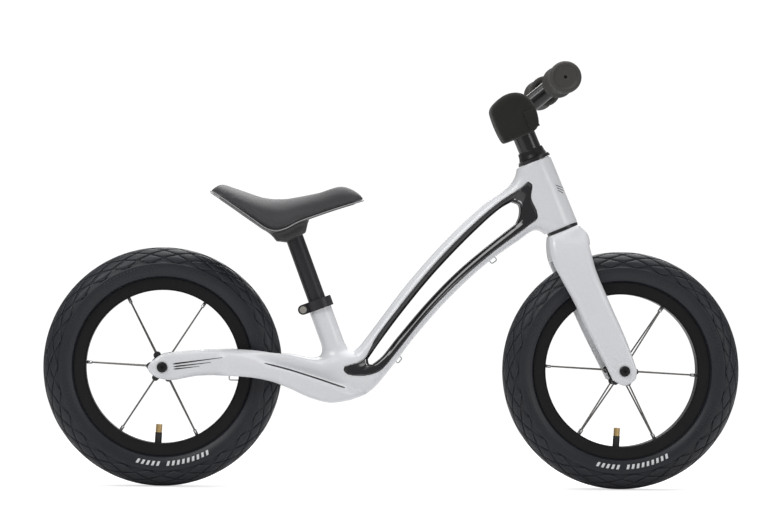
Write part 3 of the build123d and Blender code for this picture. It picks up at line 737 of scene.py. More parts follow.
class WrappedBlocks(Repeater):
    """Low blocks at the guide's points, wrapped from a flat sheet on to a tyre.

    The guide is flat: x runs round the tyre, y across it, both in metres along the surface.
    """

    name = "wrapped_blocks"
    inputs = {"Length": "NodeSocketFloat", "Width": "NodeSocketFloat", "Height": "NodeSocketFloat",
              "Taper": "NodeSocketFloat", "Slant": "NodeSocketFloat", "Crown": "NodeSocketFloat",
              "Ring Radius": "NodeSocketFloat", "Section Radius": "NodeSocketFloat",
              "Centre": "NodeSocketVector"}

    def shape(self, graph: Graph, given: Wire) -> Wire:
        """Blocks on the points, realized and then wrapped."""
        box = graph.node("GeometryNodeMeshCube", {}, {
            "Size": (1.0, 1.0, 1.0), "Vertices X": 9, "Vertices Y": 4, "Vertices Z": 2})
        at = graph.node("GeometryNodeInputPosition")
        flat = graph.node("ShaderNodeSeparateXYZ", {}, {"Vector": at})
        x, y, z = flat, flat.out("Y"), flat.out("Z")
        narrowing = 1.0 - x.size() * (2.0 * given.out("Taper"))
        bevel = 1.0 - (z + 0.5) * 0.09
        block = graph.node("ShaderNodeCombineXYZ", {}, {
            "X": (x * bevel + y * given.out("Slant")) * given.out("Length"),
            "Y": y * narrowing * bevel * given.out("Width"),
            "Z": z * given.out("Height")})
        shaped = graph.node("GeometryNodeSetPosition", {}, {"Geometry": box, "Position": block})
        dots = graph.node("GeometryNodeMeshToPoints", {}, {"Mesh": given})
        placed = graph.node("GeometryNodeInstanceOnPoints", {}, {
            "Points": dots, "Instance": shaped})
        solid = graph.node("GeometryNodeRealizeInstances", {}, {"Geometry": placed})
        sheet = graph.node("ShaderNodeSeparateXYZ", {}, {
            "Vector": graph.node("GeometryNodeInputPosition")})
        section = given.out("Section Radius") + sheet.out("Z")
        tilt = sheet.out("Y") / given.out("Section Radius")
        turn = sheet / given.out("Crown")
        reach = given.out("Ring Radius") + section * tilt.cosine()
        wrapped = graph.node("ShaderNodeCombineXYZ", {}, {
            "X": reach * turn.cosine(), "Y": section * tilt.sine(), "Z": 0.0 - reach * turn.sine()})
        moved = graph.node("ShaderNodeVectorMath", {"operation": "ADD"}, {
            0: wrapped, 1: given.out("Centre")})
        return graph.node("GeometryNodeSetPosition", {}, {"Geometry": solid, "Position": moved})


def guide(name: str, points: Sequence[Sequence[float]],
          edges: Sequence[Tuple[int, int]] = ()) -> bpy.types.Object:
    """A guide mesh of points and lines in millimetres, for a repeater."""
    mesh = bpy.data.meshes.new(name)
    mesh.from_pydata([[c * MM for c in p] for p in points], list(edges), [])
    return new_object(name, mesh)


# ---------------------------------------------------------------- shared sizes

WHEEL_RADIUS = 148.5
REAR_X, FRONT_X = -286.0, 286.0
STEERING = Line(FRONT_X, WHEEL_RADIUS, 67.1)
POST = Line(-92.9, 228.0, 69.5)
BOSS_RADIUS, BOSS_INNER, BOSS_OUTER = 9.5, 38.0, 49.0


def dropouts(x: np.ndarray, y: np.ndarray, z: np.ndarray, centre: float) -> np.ndarray:
    """Distance to the two round bosses that hold the ends of the axle at x = centre."""
    return np.maximum(np.hypot(x - centre, z - WHEEL_RADIUS) - BOSS_RADIUS,
                      between(np.abs(y), BOSS_INNER, BOSS_OUTER))


def add(piece: bpy.types.Object, body: str, finish: Optional[Finish], slot: str,
        *replaced: str) -> bpy.types.Object:
    """Give a finished piece its material and body.

    Args:
        piece: the piece, at the origin.
        body: the CAD body that it rides on.
        finish: its material, or None if it has one already.
        slot: the record's material slot; not used.
        replaced: CAD nodes that it stands for.

    Returns:
        The same piece.
    """
    if finish is not None:
        piece.data.materials.clear()
        piece.data.materials.append(finish.build())
    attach(piece, body)
    if replaced:
        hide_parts(*replaced)
    LOG.info("%s: %d faces on %s", piece.name, len(piece.data.polygons), body)
    return piece


# ---------------------------------------------------------------- frame

@dataclass
class FrameShell:
    """The one-piece frame: beam with its slot, stays, foot ledges, seat tube and head tube."""

    step: float = 1.6
    edge: float = 15.0
    head_radius: float = 20.6
    head_low: float = 193.5
    head_top: float = 283.2
    seat_tube_radius: float = 14.0
    seat_tube_top: float = 4.8
    seat_tube_length: float = 100.8
    sleeve_wall: float = 2.5
    lip_depth: float = 4.0
    head_room: float = 45.0
    bearing_bore: float = 16.0
    bearing_run: Point = (178.0, 298.0)
    post_bore: float = 11.4
    post_bore_run: Point = (-118.0, 14.0)

    def __post_init__(self) -> None:
        """Draw the outlines."""
        stay_top = [(-300, 155), (-286, 164.5), (-262, 167.5), (-216, 171), (-170, 171.5),
                    (-137, 168), (-103, 161), (-72, 158), (-48, 166)]
        beam_top = [(-48, 166), (-20, 204), (18, 255), (67, 311), (113, 355), (147, 382),
                    (156, 402)]
        head_join = [(156, 402), (174, 408), (209, 327), (193, 319)]
        beam_under = [(193, 319), (177, 323), (155, 309), (113, 278), (67, 234), (28, 189),
                      (-3, 148), (-28, 120), (-53, 109)]
        stay_under = [(-53, 109), (-78, 106), (-103, 112), (-128, 123), (-152, 132), (-180, 137),
                      (-240, 138), (-277, 132.5), (-296, 137.5), (-304, 147), (-300, 155)]
        self.side = Outline(stay_top, beam_top, head_join, beam_under, stay_under)
        self.slot_runs = (
            [(-31, 160), (-16, 182), (12, 220), (50, 267), (96, 316), (132, 349), (147, 358)],
            [(147, 358), (156, 354), (157, 342), (153, 331)],
            [(153, 331), (129, 312), (84, 274), (45, 234), (5, 186), (-13, 163), (-24, 153.5)],
            [(-24, 153.5), (-29.5, 154.5), (-31, 160)])
        self.lip_runs = (
            [(-60, 151), (-54, 153.2), (-47.7, 154.6), (-40, 158), (-34, 163.5), (-28, 174),
             (-22, 186), (16, 237), (54, 283), (92, 323),
             (128, 355), (158, 376), (166, 383)],
            [(166, 383), (171, 379), (170, 363), (177, 347)],
            [(177, 347), (178, 338), (168, 329), (126, 297), (81, 258), (42, 217), (3, 168),
             (-15, 147), (-32, 140.5), (-50, 140)],
            [(-50, 140), (-57.5, 142.3), (-61, 146.5), (-60, 151)])
        self.slot = Outline(*self.slot_runs)
        self.lip = Outline(*self.lip_runs)
        self.upper_plan = smooth_line([(-308, 49), (-240, 47), (-190, 44), (-150, 38), (-105, 28),
                                       (-60, 22.5), (0, 19), (70, 18), (140, 18.5), (215, 20.5)])
        self.ledge_plan = smooth_line([(-205, 44), (-170, 47), (-130, 46), (-90, 40), (-55, 31),
                                       (-40, 24), (-25, 12)])
        self.ledge_line = smooth_line([(-205, 156), (-175, 156.5), (-142, 150.5), (-98, 137.5),
                                       (-54, 123), (-25, 114)])
        below = [(-25, 114), (-25, 90)]
        self.ledge_side = Outline([tuple(p) for p in self.ledge_line[::6]], below,
                                  [(-25, 90), (-205, 90)], [(-205, 90), (-205, 156)])
        gap = [(-320, 38), (-262, 38), (-225, 34), (-185, 31), (-150, 29), (-132, 22), (-125, 10),
               (-124, 0), (-125, -10), (-132, -22), (-150, -29), (-185, -31), (-225, -34),
               (-262, -38), (-320, -38)]
        self.wheel_gap = Outline(gap, [gap[-1], gap[0]])

    def half_width(self, x: np.ndarray) -> np.ndarray:
        """Half width of the upper part at x."""
        return along_line(self.upper_plan, x)

    def ledge_half(self, x: np.ndarray) -> np.ndarray:
        """Half width of the foot ledges at x."""
        return along_line(self.ledge_plan, x)

    def outside(self, x: np.ndarray, y: np.ndarray, z: np.ndarray) -> np.ndarray:
        """Distance to the frame before the wheel gap, the slot and the bores are cut."""
        side = self.side.distance(x, z)
        edge = np.interp(x, (-300, -262, -225, -180), (3.0, 7.0, 11.0, self.edge))
        body = common(side, np.abs(y) - self.half_width(x), edge)
        ledge = common(np.maximum(side, self.ledge_side.distance(x, z)),
                       np.abs(y) - self.ledge_half(x), 8.0)
        body = np.maximum(joined(body, ledge, np.interp(x, (-200, -140), (18.0, 5.0))), side)
        up = STEERING.up(x, z)
        tube = np.maximum(STEERING.off(x, y, z) - self.head_radius,
                          between(up, self.head_low, self.head_top))
        body = joined(body, tube, 10.0)
        up = POST.up(x, z)
        tube = np.maximum(POST.off(x, y, z) - self.seat_tube_radius,
                          between(up, self.seat_tube_top - self.seat_tube_length,
                                  self.seat_tube_top))
        body = joined(body, tube, 22.0)
        return joined(body, dropouts(x, y, z, REAR_X), 2.0)

    def field(self, x: np.ndarray, y: np.ndarray, z: np.ndarray) -> np.ndarray:
        """Distance to the finished frame."""
        body = without(self.outside(x, y, z), self.wheel_gap.distance(x, y), 5.0)
        off, up = STEERING.off(x, y, z), STEERING.up(x, z)
        for past_end in (self.head_top - up, up - self.head_low):
            body = without(body, np.maximum(off - self.head_room, past_end), 0.8)
        body = without(body, np.maximum(off - self.bearing_bore, between(up, *self.bearing_run)))
        body = without(body, self.slot.distance(x, z) - self.sleeve_wall, 0.6)
        recess = np.maximum(self.lip.distance(x, z) + 0.7,
                            self.half_width(x) - self.lip_depth - np.abs(y))
        body = without(body, recess, 0.6)
        return without(body, np.maximum(POST.off(x, y, z) - self.post_bore,
                                        between(POST.up(x, z), *self.post_bore_run)))

    def build(self) -> bpy.types.Object:
        """Make the frame's surface."""
        piece = skin("frame_shell", self.field, (-306, -50, 104), (234, 50, 411), self.step)
        return add(piece, "frame", FINISHES["frame_paint"], "frame_paint", "frame")


@dataclass
class SlotBezel:
    """Gloss lining of the slot: a stepped, bevelled lip on one side and a sleeve to the middle."""

    frame: FrameShell
    samples: Tuple[int, int, int, int] = (150, 34, 150, 22)
    proud: float = 0.35
    middle: float = 0.05

    def loops(self) -> Tuple[np.ndarray, np.ndarray]:
        """Matching points on the lip's outline and on the slot's outline."""
        pairs = []
        for runs in (self.frame.lip_runs, self.frame.slot_runs):
            lines = [even_steps(smooth_line(run), count + 1)[:-1]
                     for run, count in zip(runs, self.samples)]
            pairs.append(np.vstack(lines))
        return pairs[0], pairs[1]

    def build(self, side: int) -> bpy.types.Object:
        """Make one side's lining.

        Args:
            side: 1 for the rider's left, -1 for the right.

        Returns:
            The closed ring-shaped mesh.
        """
        lip, slot = self.loops()
        inwards = slot - lip
        way = inwards / np.linalg.norm(inwards, axis=1, keepdims=True)
        along = np.roll(slot, -1, 0) - np.roll(slot, 1, 0)
        outer = np.stack([-along[:, 1], along[:, 0]], 1)
        outer /= np.linalg.norm(outer, axis=1, keepdims=True)
        inner = self.frame.half_width(slot[:, 0])
        rings = []
        for share, inset, drop in self.section():
            flat = lip + inwards * share + way * inset
            if not share:
                surface = self.proud + edge_of(self.frame.outside, *flat.T, 55.0, 4.0)
            level = surface * (1 - share) + np.minimum(inner, surface) * share - drop
            rings.append(standing(flat, level))
        wall = self.frame.sleeve_wall - 0.4
        for offset in (0.0, wall):
            flat = slot + outer * offset
            rings.append(standing(flat, self.middle))
        flat = slot + outer * wall
        rings.append(standing(flat, inner - self.frame.lip_depth - 0.1))
        flat = lip + way * 1.6
        rings.append(standing(flat, surface - self.frame.lip_depth + 0.4))
        points = np.array(rings)
        points[..., 1] *= side
        name = "slot_bezel_left" if side > 0 else "slot_bezel_right"
        piece = make_piece(f"{name}_gloss", points.reshape(-1, 3),
                           tube_faces(len(points), len(lip), True))
        return add(outwards(piece), "frame", FINISHES["bezel_gloss"], "bezel_gloss", name)

    def section(self) -> List[Tuple[float, float, float]]:
        """Steps across the lip: share of the way in, extra inset, and drop."""
        start = [(0.0, -0.5, 0.9), (0.0, -0.55, 0.25), (0.0, -0.3, 0.0), (0.0, 1.1, 0.0),
                 (0.0, 1.5, 0.2), (0.0, 1.7, 0.75), (0.0, 2.2, 0.9)]
        bevel = [(0.30 + 0.55 * t, 0.0, 0.95 + 3.4 * t ** 1.7) for t in np.linspace(0, 1, 7)]
        lip = [(0.93, 0.0, 5.2), (0.975, 0.0, 6.4), (1.0, 0.0, 8.6)]
        return start + bevel + lip


@dataclass
class FrameTrim:
    """What is printed on or stuck to the frame: dashes, foot grips and wire loops."""

    frame: FrameShell

    def dash(self, name: str, start: Point, end: Point, widths: Point) -> bpy.types.Object:
        """Tapered dark line on both sides of the frame, laid over its surface."""
        along = np.linspace(0.0, 1.0, 26)
        a, b = np.array(start), np.array(end)
        way = (b - a) / np.linalg.norm(b - a)
        normal = np.array([-way[1], way[0]])
        middle = a + np.outer(along, b - a)
        half = (widths[0] + (widths[1] - widths[0]) * along) * np.sqrt(
            np.clip(np.minimum(along * 12, 1.0), 0.05, 1.0)) / 2
        grid = []
        for across in np.linspace(-1.0, 1.0, 4):
            flat = middle + normal * (half * across)[:, None]
            level = edge_of(self.frame.outside, flat[:, 0], flat[:, 1], 60.0, 4.0)
            grid.append(standing(flat, level + 0.12))
        left = np.array(grid)
        right = left * np.array([1.0, -1.0, 1.0])
        sides = [patch(f"{name}_a", left, np.array([0, -0.5, 0])),
                 patch(f"{name}_b", right, np.array([0, 0.5, 0]))]
        return merged(name, sides)

    def build(self) -> None:
        """Make the dashes, foot grips and loops."""
        lines = [((-273, 152.5), (-212, 161), (2.2, 0.6)), ((-272, 149.2), (-226, 155), (2.0, 0.6)),
                 ((-272, 146.2), (-240, 150), (1.8, 0.5))]
        lines += [((200.5 + 1.6 * i, 379.5 - 3.2 * i), (212.0 - 0.5 * i, 376.0 - 3.2 * i),
                   (0.9, 0.7)) for i in range(3)]
        dashes = [self.dash(f"dash_{i}", *line) for i, line in enumerate(lines)]
        add(merged("frame_dashes", dashes), "frame", FINISHES["bezel_gloss"], "frame_paint")
        self.foot_grips()
        self.loops()

    def foot_grips(self) -> None:
        """Anti-slip strips that lie on the two ledges."""
        shape = self.frame
        along = np.linspace(-160.0, -60.0, 70)
        parts = []
        for side in (1, -1):
            grid = []
            for across in np.linspace(0.0, 1.0, 9):
                inner = shape.half_width(along) + 1.0
                outer = np.maximum(shape.ledge_half(along) - 2.6, inner + 0.5)
                level = side * (inner + (outer - inner) * across)
                line = along_line(shape.ledge_line, along)
                grid.append(np.stack([along, level, line + 0.55], 1))
            parts.append(patch(f"grip_{side}", np.array(grid), np.array([0, 0, -1.6])))
        add(merged("footrest_strips", parts), "frame", FINISHES["grip_tape"], "grip_tape",
            "footrest_grips")

    def loops(self) -> None:
        """Three small bent wires, set into the frame with rounded corners."""
        places = ((-197.0, 38.0, 137.5, 0.0, 13.0, 6.0), (6.5, 0.0, 160.6, 52.9, 8.0, 4.0),
                  (124.0, 0.0, 286.1, 36.4, 8.0, 4.0))
        points: List[Tuple[float, float, float]] = []
        edges: List[Tuple[int, int]] = []
        for x, y, z, angle, length, stand in places:
            turn = math.radians(angle)
            route = [(-length / 2, 4.0)]
            for corner in (-1, 1):
                for step in range(6):
                    bend = math.pi / 2 * (step / 5) + (0.0 if corner < 0 else math.pi / 2)
                    route.append((corner * (length / 2 - 1.8) - 1.8 * math.cos(bend),
                                  -stand + 1.8 - 1.8 * math.sin(bend)))
            route.append((length / 2, 4.0))
            first = len(points)
            points += [(x + u * math.cos(turn) - v * math.sin(turn), y,
                        z + u * math.sin(turn) + v * math.cos(turn)) for u, v in route]
            edges += [(first + i, first + i + 1) for i in range(len(route) - 1)]
        piece = RoundWire().run(guide("frame_loops", points, edges), FINISHES["loop_wire"],
                                {"Radius": 0.8 * MM, "Sides": 12})
        add(piece, "frame", None, "loop_wire", "strap_loops")


def merged(name: str, pieces: Sequence[bpy.types.Object]) -> bpy.types.Object:
    """Several meshes as one object with one mesh, still separate shells inside it."""
    points: List[Tuple[float, ...]] = []
    faces: List[List[int]] = []
    for piece in pieces:
        first = len(points)
        points += [tuple(v.co / MM) for v in piece.data.vertices]
        faces += [[first + i for i in p.vertices] for p in piece.data.polygons]
        bpy.data.objects.remove(piece)
    return make_piece(name, np.array(points), faces)


# ---------------------------------------------------------------- fork

@dataclass
class Fork:
    """The one-piece fork: crown, two blades with a bevelled front edge, and two dropouts."""

    step: float = 1.35
    tyre_room: float = 160.5
    tyre_half_room: float = 26.5
    crown_top: float = 189.5
    crown_room: float = 60.0
    steerer_bore: float = 14.4
    bore_low: float = 160.0

    def __post_init__(self) -> None:
        """Draw the outlines."""
        rear = [(193.5, 316.5), (193, 306), (196, 286), (208, 261), (222, 236), (240, 199),
                (266, 149), (272, 137)]
        tip = [(272, 137), (286, 130.5), (299.5, 138), (302, 149)]
        front = [(302, 149), (289, 186), (267, 236), (251, 274), (245, 299), (242, 318),
                 (229.5, 331.5)]
        self.side = Outline(rear, tip, front, [front[-1], rear[0]])
        self.half = smooth_line([(120, 49), (150, 49), (180, 48), (215, 45), (255, 42.5),
                                 (284, 38.5), (304, 33.5), (320, 26), (345, 22)])
        self.gap = smooth_line([(100, 38), (185, 38), (215, 31), (240, 28.5), (262, 26.5)])

    def field(self, x: np.ndarray, y: np.ndarray, z: np.ndarray) -> np.ndarray:
        """Distance to the fork."""
        side = self.side.distance(x, z)
        edge = np.interp(z, (150, 190, 240), (4.0, 8.0, 11.0))
        body = common(side, np.abs(y) - along_line(self.half, z), edge)
        up, off = STEERING.up(x, z), STEERING.off(x, y, z)
        body = joined(body, dropouts(x, y, z, FRONT_X), 2.0)
        room = np.maximum(np.hypot(x - FRONT_X, z - WHEEL_RADIUS) - self.tyre_room,
                          np.abs(y) - self.tyre_half_room)
        lower = np.maximum(np.abs(y) - along_line(self.gap, z), z - 262.0)
        body = without(body, joined(room, lower, 3.0), 4.0)
        body = without(body, np.maximum(off - self.crown_room, self.crown_top - up), 0.6)
        return without(body, np.maximum(off - self.steerer_bore, self.bore_low - up))

    def build(self) -> bpy.types.Object:
        """Make the fork's surface."""
        piece = skin("fork_shell", self.field, (186, -50, 128), (304, 50, 336), self.step)
        return add(piece, "steering", FINISHES["frame_paint"], "frame_paint", "fork")


# ---------------------------------------------------------------- wheels

@dataclass
class Wheel:
    """One wheel: tyre with its tread, sidewall marks, spokes and nipples."""

    name: str
    x: float
    body: str
    ring: float = 125.5
    crown: float = 23.0
    floor: float = 21.7
    wall: float = 23.3
    around: int = 26
    cell: float = 12.6
    bead_radius: float = 110.3
    spokes_per_side: int = 6
    spoke_phase: float = -3.0
    flange_y: float = 20.0
    hub_reach: float = 19.6
    rim_floor: float = 98.2
    rim_y: float = 3.0
    nipple_start: float = 88.0

    @property
    def pitch(self) -> float:
        """Distance round the crown from one tread block to the next."""
        return 2 * math.pi * (self.ring + self.crown) / self.around

    def section(self) -> List[Point]:
        """The tyre's closed section as (radius, y): casing outside, then its inside."""
        edge = math.radians(80.0)
        low = math.radians(118.0)
        half: List[Point] = []
        for turn in np.linspace(0.0, edge, 16):
            half.append((self.ring + self.floor * math.cos(turn), self.floor * math.sin(turn)))
        for turn in np.linspace(edge + 0.035, low, 14):
            half.append((self.ring + self.wall * math.cos(turn), self.wall * math.sin(turn)))
        half += [(113.4, 19.9), (112.5, 19.6), (111.9, 18.2), (112.2, 17.2), (111.2, 15.6),
                 (self.bead_radius, 14.0), (self.bead_radius, 12.0), (101.7, 11.9)]
        inner = [(101.7, 8.3), (110.5, 8.6), (114.5, 14.4), (120, 18.3), (127, 19.4), (134, 17.2),
                 (140, 12.0), (143.4, 6.0), (144.2, 0.0)]
        return half + inner + [(r, -y) for r, y in reversed(inner[:-1])] + [
            (r, -y) for r, y in reversed(half[1:])]

    def blocks(self, name: str, points: Sequence[Sequence[float]], finish: Finish,
               **sizes: float) -> bpy.types.Object:
        """Blocks wrapped on to the tyre; lengths in millimetres."""
        values: Dict[str, object] = {"Taper": sizes.pop("taper"), "Slant": sizes.pop("slant")}
        values.update({key.title().replace("_", " "): size * MM for key, size in sizes.items()})
        values["Ring Radius"] = self.ring * MM
        values["Crown"] = (self.ring + self.crown) * MM
        values["Centre"] = (self.x * MM, 0.0, WHEEL_RADIUS * MM)
        return WrappedBlocks().run(guide(name, points), finish, values)

    def tread_points(self) -> List[Tuple[float, float, float]]:
        """Centres of the diamond blocks: straight rows, and rows between them half a step on."""
        points = []
        for row in range(-4, 5):
            shift = 0.5 * (row % 2)
            points += [((index + shift) * self.pitch, row * self.cell / 2, 0.0)
                       for index in range(self.around)]
        return points

    def build(self) -> None:
        """Make the tyre, its tread and marks, the spokes and the nipples."""
        casing = spun(f"{self.name}_tyre_casing", self.section(), self.x, WHEEL_RADIUS, 300)
        add(casing, self.body, FINISHES["tyre_rubber"], "tyre_rubber", f"{self.name}_tyre")
        tread = self.blocks(f"{self.name}_tread", self.tread_points(), FINISHES["tyre_rubber"],
                            length=self.pitch - 3.4, width=self.cell - 1.2, height=2.2, taper=0.97,
                            slant=0.0, section_radius=self.crown - 1.1)
        add(tread, self.body, None, "tyre_rubber")
        self.sidewall()
        self.spokes()

    def arc(self, middle: float, offsets: Sequence[float], tilt: float,
            sides: Sequence[int]) -> List[Tuple[float, float, float]]:
        """Guide points on the sidewall: degrees round the wheel and down from the crown."""
        crown = self.ring + self.crown
        across = math.radians(tilt) * self.wall
        return [(-math.radians(middle + offset) * crown, side * across, 0.0)
                for side in sides for offset in offsets]

    def sidewall(self) -> None:
        """Fine moulded ribs in groups, and a printed band of slanted bars."""
        ribs = []
        for middle, count in ((20, 13), (68, 9), (112, 15), (160, 11), (205, 13), (332, 9)):
            offsets = [(index - count / 2) * 2.1 for index in range(count)]
            ribs += self.arc(middle, offsets, 98.0, (1, -1))
        moulded = self.blocks(f"{self.name}_sidewall_ribs", ribs, FINISHES["tyre_rubber"],
                              length=1.5, width=7.0, height=0.7, taper=0.0, slant=0.0,
                              section_radius=self.wall)
        add(moulded, self.body, None, "tyre_rubber")
        bars = [offset for offset in range(-21, 22, 3) if abs(offset + 6) > 1]
        printed = self.blocks(f"{self.name}_sidewall_print", self.arc(277.0, bars, 104.0, (1, -1)),
                              PRINT_WHITE, length=4.2, width=6.2, height=0.36, taper=0.0,
                              slant=0.55, section_radius=self.wall)
        add(printed, self.body, None, "tyre_rubber")

    def spokes(self) -> None:
        """Straight spokes from the hub's lugs to nipples in the rim."""
        ends = []
        for side in (-1, 1):
            for index in range(self.spokes_per_side):
                turn = math.radians(360 / self.spokes_per_side * index + self.spoke_phase)
                hub, rim = (Vector((self.x + reach * math.cos(turn), side * y,
                                    WHEEL_RADIUS + reach * math.sin(turn)))
                            for reach, y in ((self.hub_reach, self.flange_y),
                                             (self.rim_floor, self.rim_y)))
                ends.append((hub, rim))
        reach = self.rim_floor - self.nipple_start
        runs = {"spokes": (0.0, reach - 2.0, 1.0, 12), "nipples": (None, 1.0, 2.1, 14)}
        for part, (start, stop, radius, sides) in runs.items():
            points, edges = [], []
            for hub, rim in ends:
                way = (rim - hub).normalized()
                first = rim - way * reach if start is None else hub
                edges.append((len(points), len(points) + 1))
                points += [tuple(first), tuple(rim - way * stop)]
            finish = FINISHES["spoke_steel" if part == "spokes" else "nipple_steel"]
            piece = RoundWire().run(guide(f"{self.name}_{part}_drawn", points, edges), finish,
                                    {"Radius": radius * MM, "Sides": sides})
            add(piece, self.body, None, finish.slot, f"{self.name}_{part}")


# ---------------------------------------------------------------- soft pieces

@dataclass
class Padding:
    """Turns a closed form into a stuffed one, with Blender's Cloth."""

    voxel: float = 4.0
    pressure: float = 4.0
    cap: float = 3.0
    frames: int = 20

    def stuff(self, piece: bpy.types.Object, held: Callable[[Vector], float]) -> bpy.types.Object:
        """Remesh a form, swell it, cap its movement and smooth it.

        Args:
            piece: the closed form, slightly smaller than the finished piece.
            held: how firmly a point in metres is held, from 0 to 1.

        Returns:
            The same object with the finished mesh.
        """
        modify(piece, "REMESH", mode="VOXEL", voxel_size=self.voxel * MM, use_smooth_shade=True)
        rest = [v.co.copy() for v in piece.data.vertices]
        group = piece.vertex_groups.new(name="held")
        for index, place in enumerate(rest):
            group.add([index], held(place), "REPLACE")
        self.swell(piece, rest)
        modify(piece, "SUBSURF", levels=1, render_levels=1)
        piece.vertex_groups.clear()
        shade_smooth(piece.data)
        return piece

    def swell(self, piece: bpy.types.Object, rest: Sequence[Vector]) -> None:
        """Run the cloth under pressure, and limit how far each point moved."""
        cloth = piece.modifiers.new("cloth", "CLOTH")
        settings = {"quality": 6, "mass": 0.3, "tension_stiffness": 20,
                    "compression_stiffness": 20, "shear_stiffness": 10, "bending_stiffness": 2,
                    "use_pressure": True, "uniform_pressure_force": self.pressure,
                    "vertex_group_mass": "held"}
        for name, value in settings.items():
            setattr(cloth.settings, name, value)
        cloth.settings.effector_weights.gravity = 0
        scene = bpy.context.scene
        for step in range(1, self.frames + 1):
            scene.frame_set(step)
        moved = piece.evaluated_get(bpy.context.evaluated_depsgraph_get()).data
        places = [v.co.copy() for v in moved.vertices]
        piece.modifiers.remove(cloth)
        for vertex, start, end in zip(piece.data.vertices, rest, places):
            shift = end - start
            limit = self.cap * MM
            if shift.length > limit:
                shift = shift.normalized() * limit
            vertex.co = start + shift
        scene.frame_set(1)


@dataclass
class Saddle:
    """Padded saddle: vinyl cover with piping along its lower edge, over a moulded base."""

    stations: int = 60
    around: int = 64
    cover_lift: float = 2.2

    def __post_init__(self) -> None:
        """Draw the saddle's lines."""
        self.top = smooth_line([(-230, 366), (-224, 372), (-215, 376.5), (-200, 372), (-164, 360.5),
                                (-140, 359), (-96, 367), (-66, 376), (-50, 371), (-40, 363),
                                (-37, 356.5)])
        self.under = smooth_line([(-230, 366), (-211, 354), (-176, 330), (-159, 319), (-148, 316.5),
                                  (-136, 319.5), (-120, 328), (-94, 338), (-68, 347), (-49, 353),
                                  (-37, 356.5)])
        self.plan = smooth_line([(-230, 40), (-222, 60), (-200, 70), (-175, 66), (-140, 46),
                                 (-105, 30), (-70, 24), (-46, 20), (-37, 9)])
        corners = [(-158, 320), (-146, 306), (-132, 304.5), (-110, 317), (-107, 331), (-132, 345)]
        self.block = Outline(*([a, b] for a, b in zip(corners, corners[1:] + corners[:1])))

    def heights(self, x: np.ndarray) -> Tuple[np.ndarray, np.ndarray, np.ndarray]:
        """Under side, top and half width at x."""
        return (along_line(self.under, x), along_line(self.top, x), along_line(self.plan, x))

    def rings(self, shrink: float) -> np.ndarray:
        """Sections of the cover from tail to nose."""
        turn = np.linspace(0.0, 2 * math.pi, self.around, endpoint=False)
        places = (1 - np.cos(np.linspace(0.0, math.pi, self.stations))) / 2
        xs = -229.2 + places * 191.4
        rings = []
        for x in xs:
            low, high, half = self.heights(np.array([x]))
            low = float(low[0]) + min(self.cover_lift, 0.2 * float(high[0] - low[0]))
            high = float(high[0]) - shrink
            half = float(half[0]) - shrink
            waist = low + 0.30 * (high - low)
            over = np.sin(turn) >= 0
            wide = np.sign(np.cos(turn)) * np.abs(np.cos(turn)) ** np.where(over, 0.80, 0.35)
            rise = np.abs(np.sin(turn)) ** np.where(over, 0.86, 0.55)
            height = np.where(over, waist + (high - waist) * rise, waist - (waist - low) * rise)
            rings.append(np.stack([np.full(self.around, x), half * wide, height], 1))
        return np.array(rings)

    def edge_line(self, share: float, lift: float) -> np.ndarray:
        """The line along the cover's lower edge on the left, from tail to nose."""
        xs = np.linspace(-228.6, -38.2, 90)
        low, high, half = self.heights(xs)
        return np.stack([xs, half * share, low + np.minimum(lift, 0.5 * (high - low))], 1)

    def build(self) -> None:
        """Make the cover, the piping, the base and its block."""
        form = loft("saddle_padding", self.rings(0.8))
        cover = Padding(3.6, 3.0, 1.6).stuff(form, self.hold)
        add(cover, "seat", FINISHES["saddle_vinyl"], "saddle_vinyl", "saddle_cover")
        left = self.edge_line(0.955, 1.5)
        loop = np.vstack([left, (left * [1, -1, 1])[::-1]])
        edges = [(i, (i + 1) % len(loop)) for i in range(len(loop))]
        piping = RoundWire().run(guide("saddle_piping", loop, edges), PIPING_GREY,
                                 {"Radius": 0.6 * MM, "Sides": 10})
        add(piping, "seat", None, "saddle_vinyl")
        base = skin("saddle_base_shell", self.base_field, (-222, -62, 300), (-44, 62, 362), 1.6)
        add(base, "seat", FINISHES["saddle_shell"], "saddle_shell", "saddle_base")

    def hold(self, place: Vector) -> float:
        """The lower edge is stapled to the base, so it doesn't swell."""
        low, high, _ = self.heights(np.array([place.x / MM]))
        share = (place.z / MM - float(low[0])) / max(float(high[0] - low[0]), 1.0)
        return float(np.clip(1.4 - 3.2 * share, 0.0, 1.0))

    def base_field(self, x: np.ndarray, y: np.ndarray, z: np.ndarray) -> np.ndarray:
        """Distance to the moulded base: a thin shell under the cover, and the post's block."""
        low = along_line(self.under, x)
        half = along_line(self.plan, x) * 0.86 - 1.0
        shell = np.maximum(np.abs(z - low - 2.4) * 0.85 - 1.9, np.abs(y) - half)
        shell = common(shell, between(x, -218.0, -48.0), 1.5)
        ribs = np.maximum(np.abs(np.abs(y) - 13.0) - 1.2, np.abs(z - low) - 3.0)
        ribs = np.maximum(ribs, between(x, -200.0, -60.0))
        block = common(self.block.distance(x, z), np.abs(y) - 21.0, 7.0)
        body = joined(shell, block, 5.0)
        return without(body, np.maximum(POST.off(x, y, z) - 11.3, POST.up(x, z) - 104.0), 0.5)


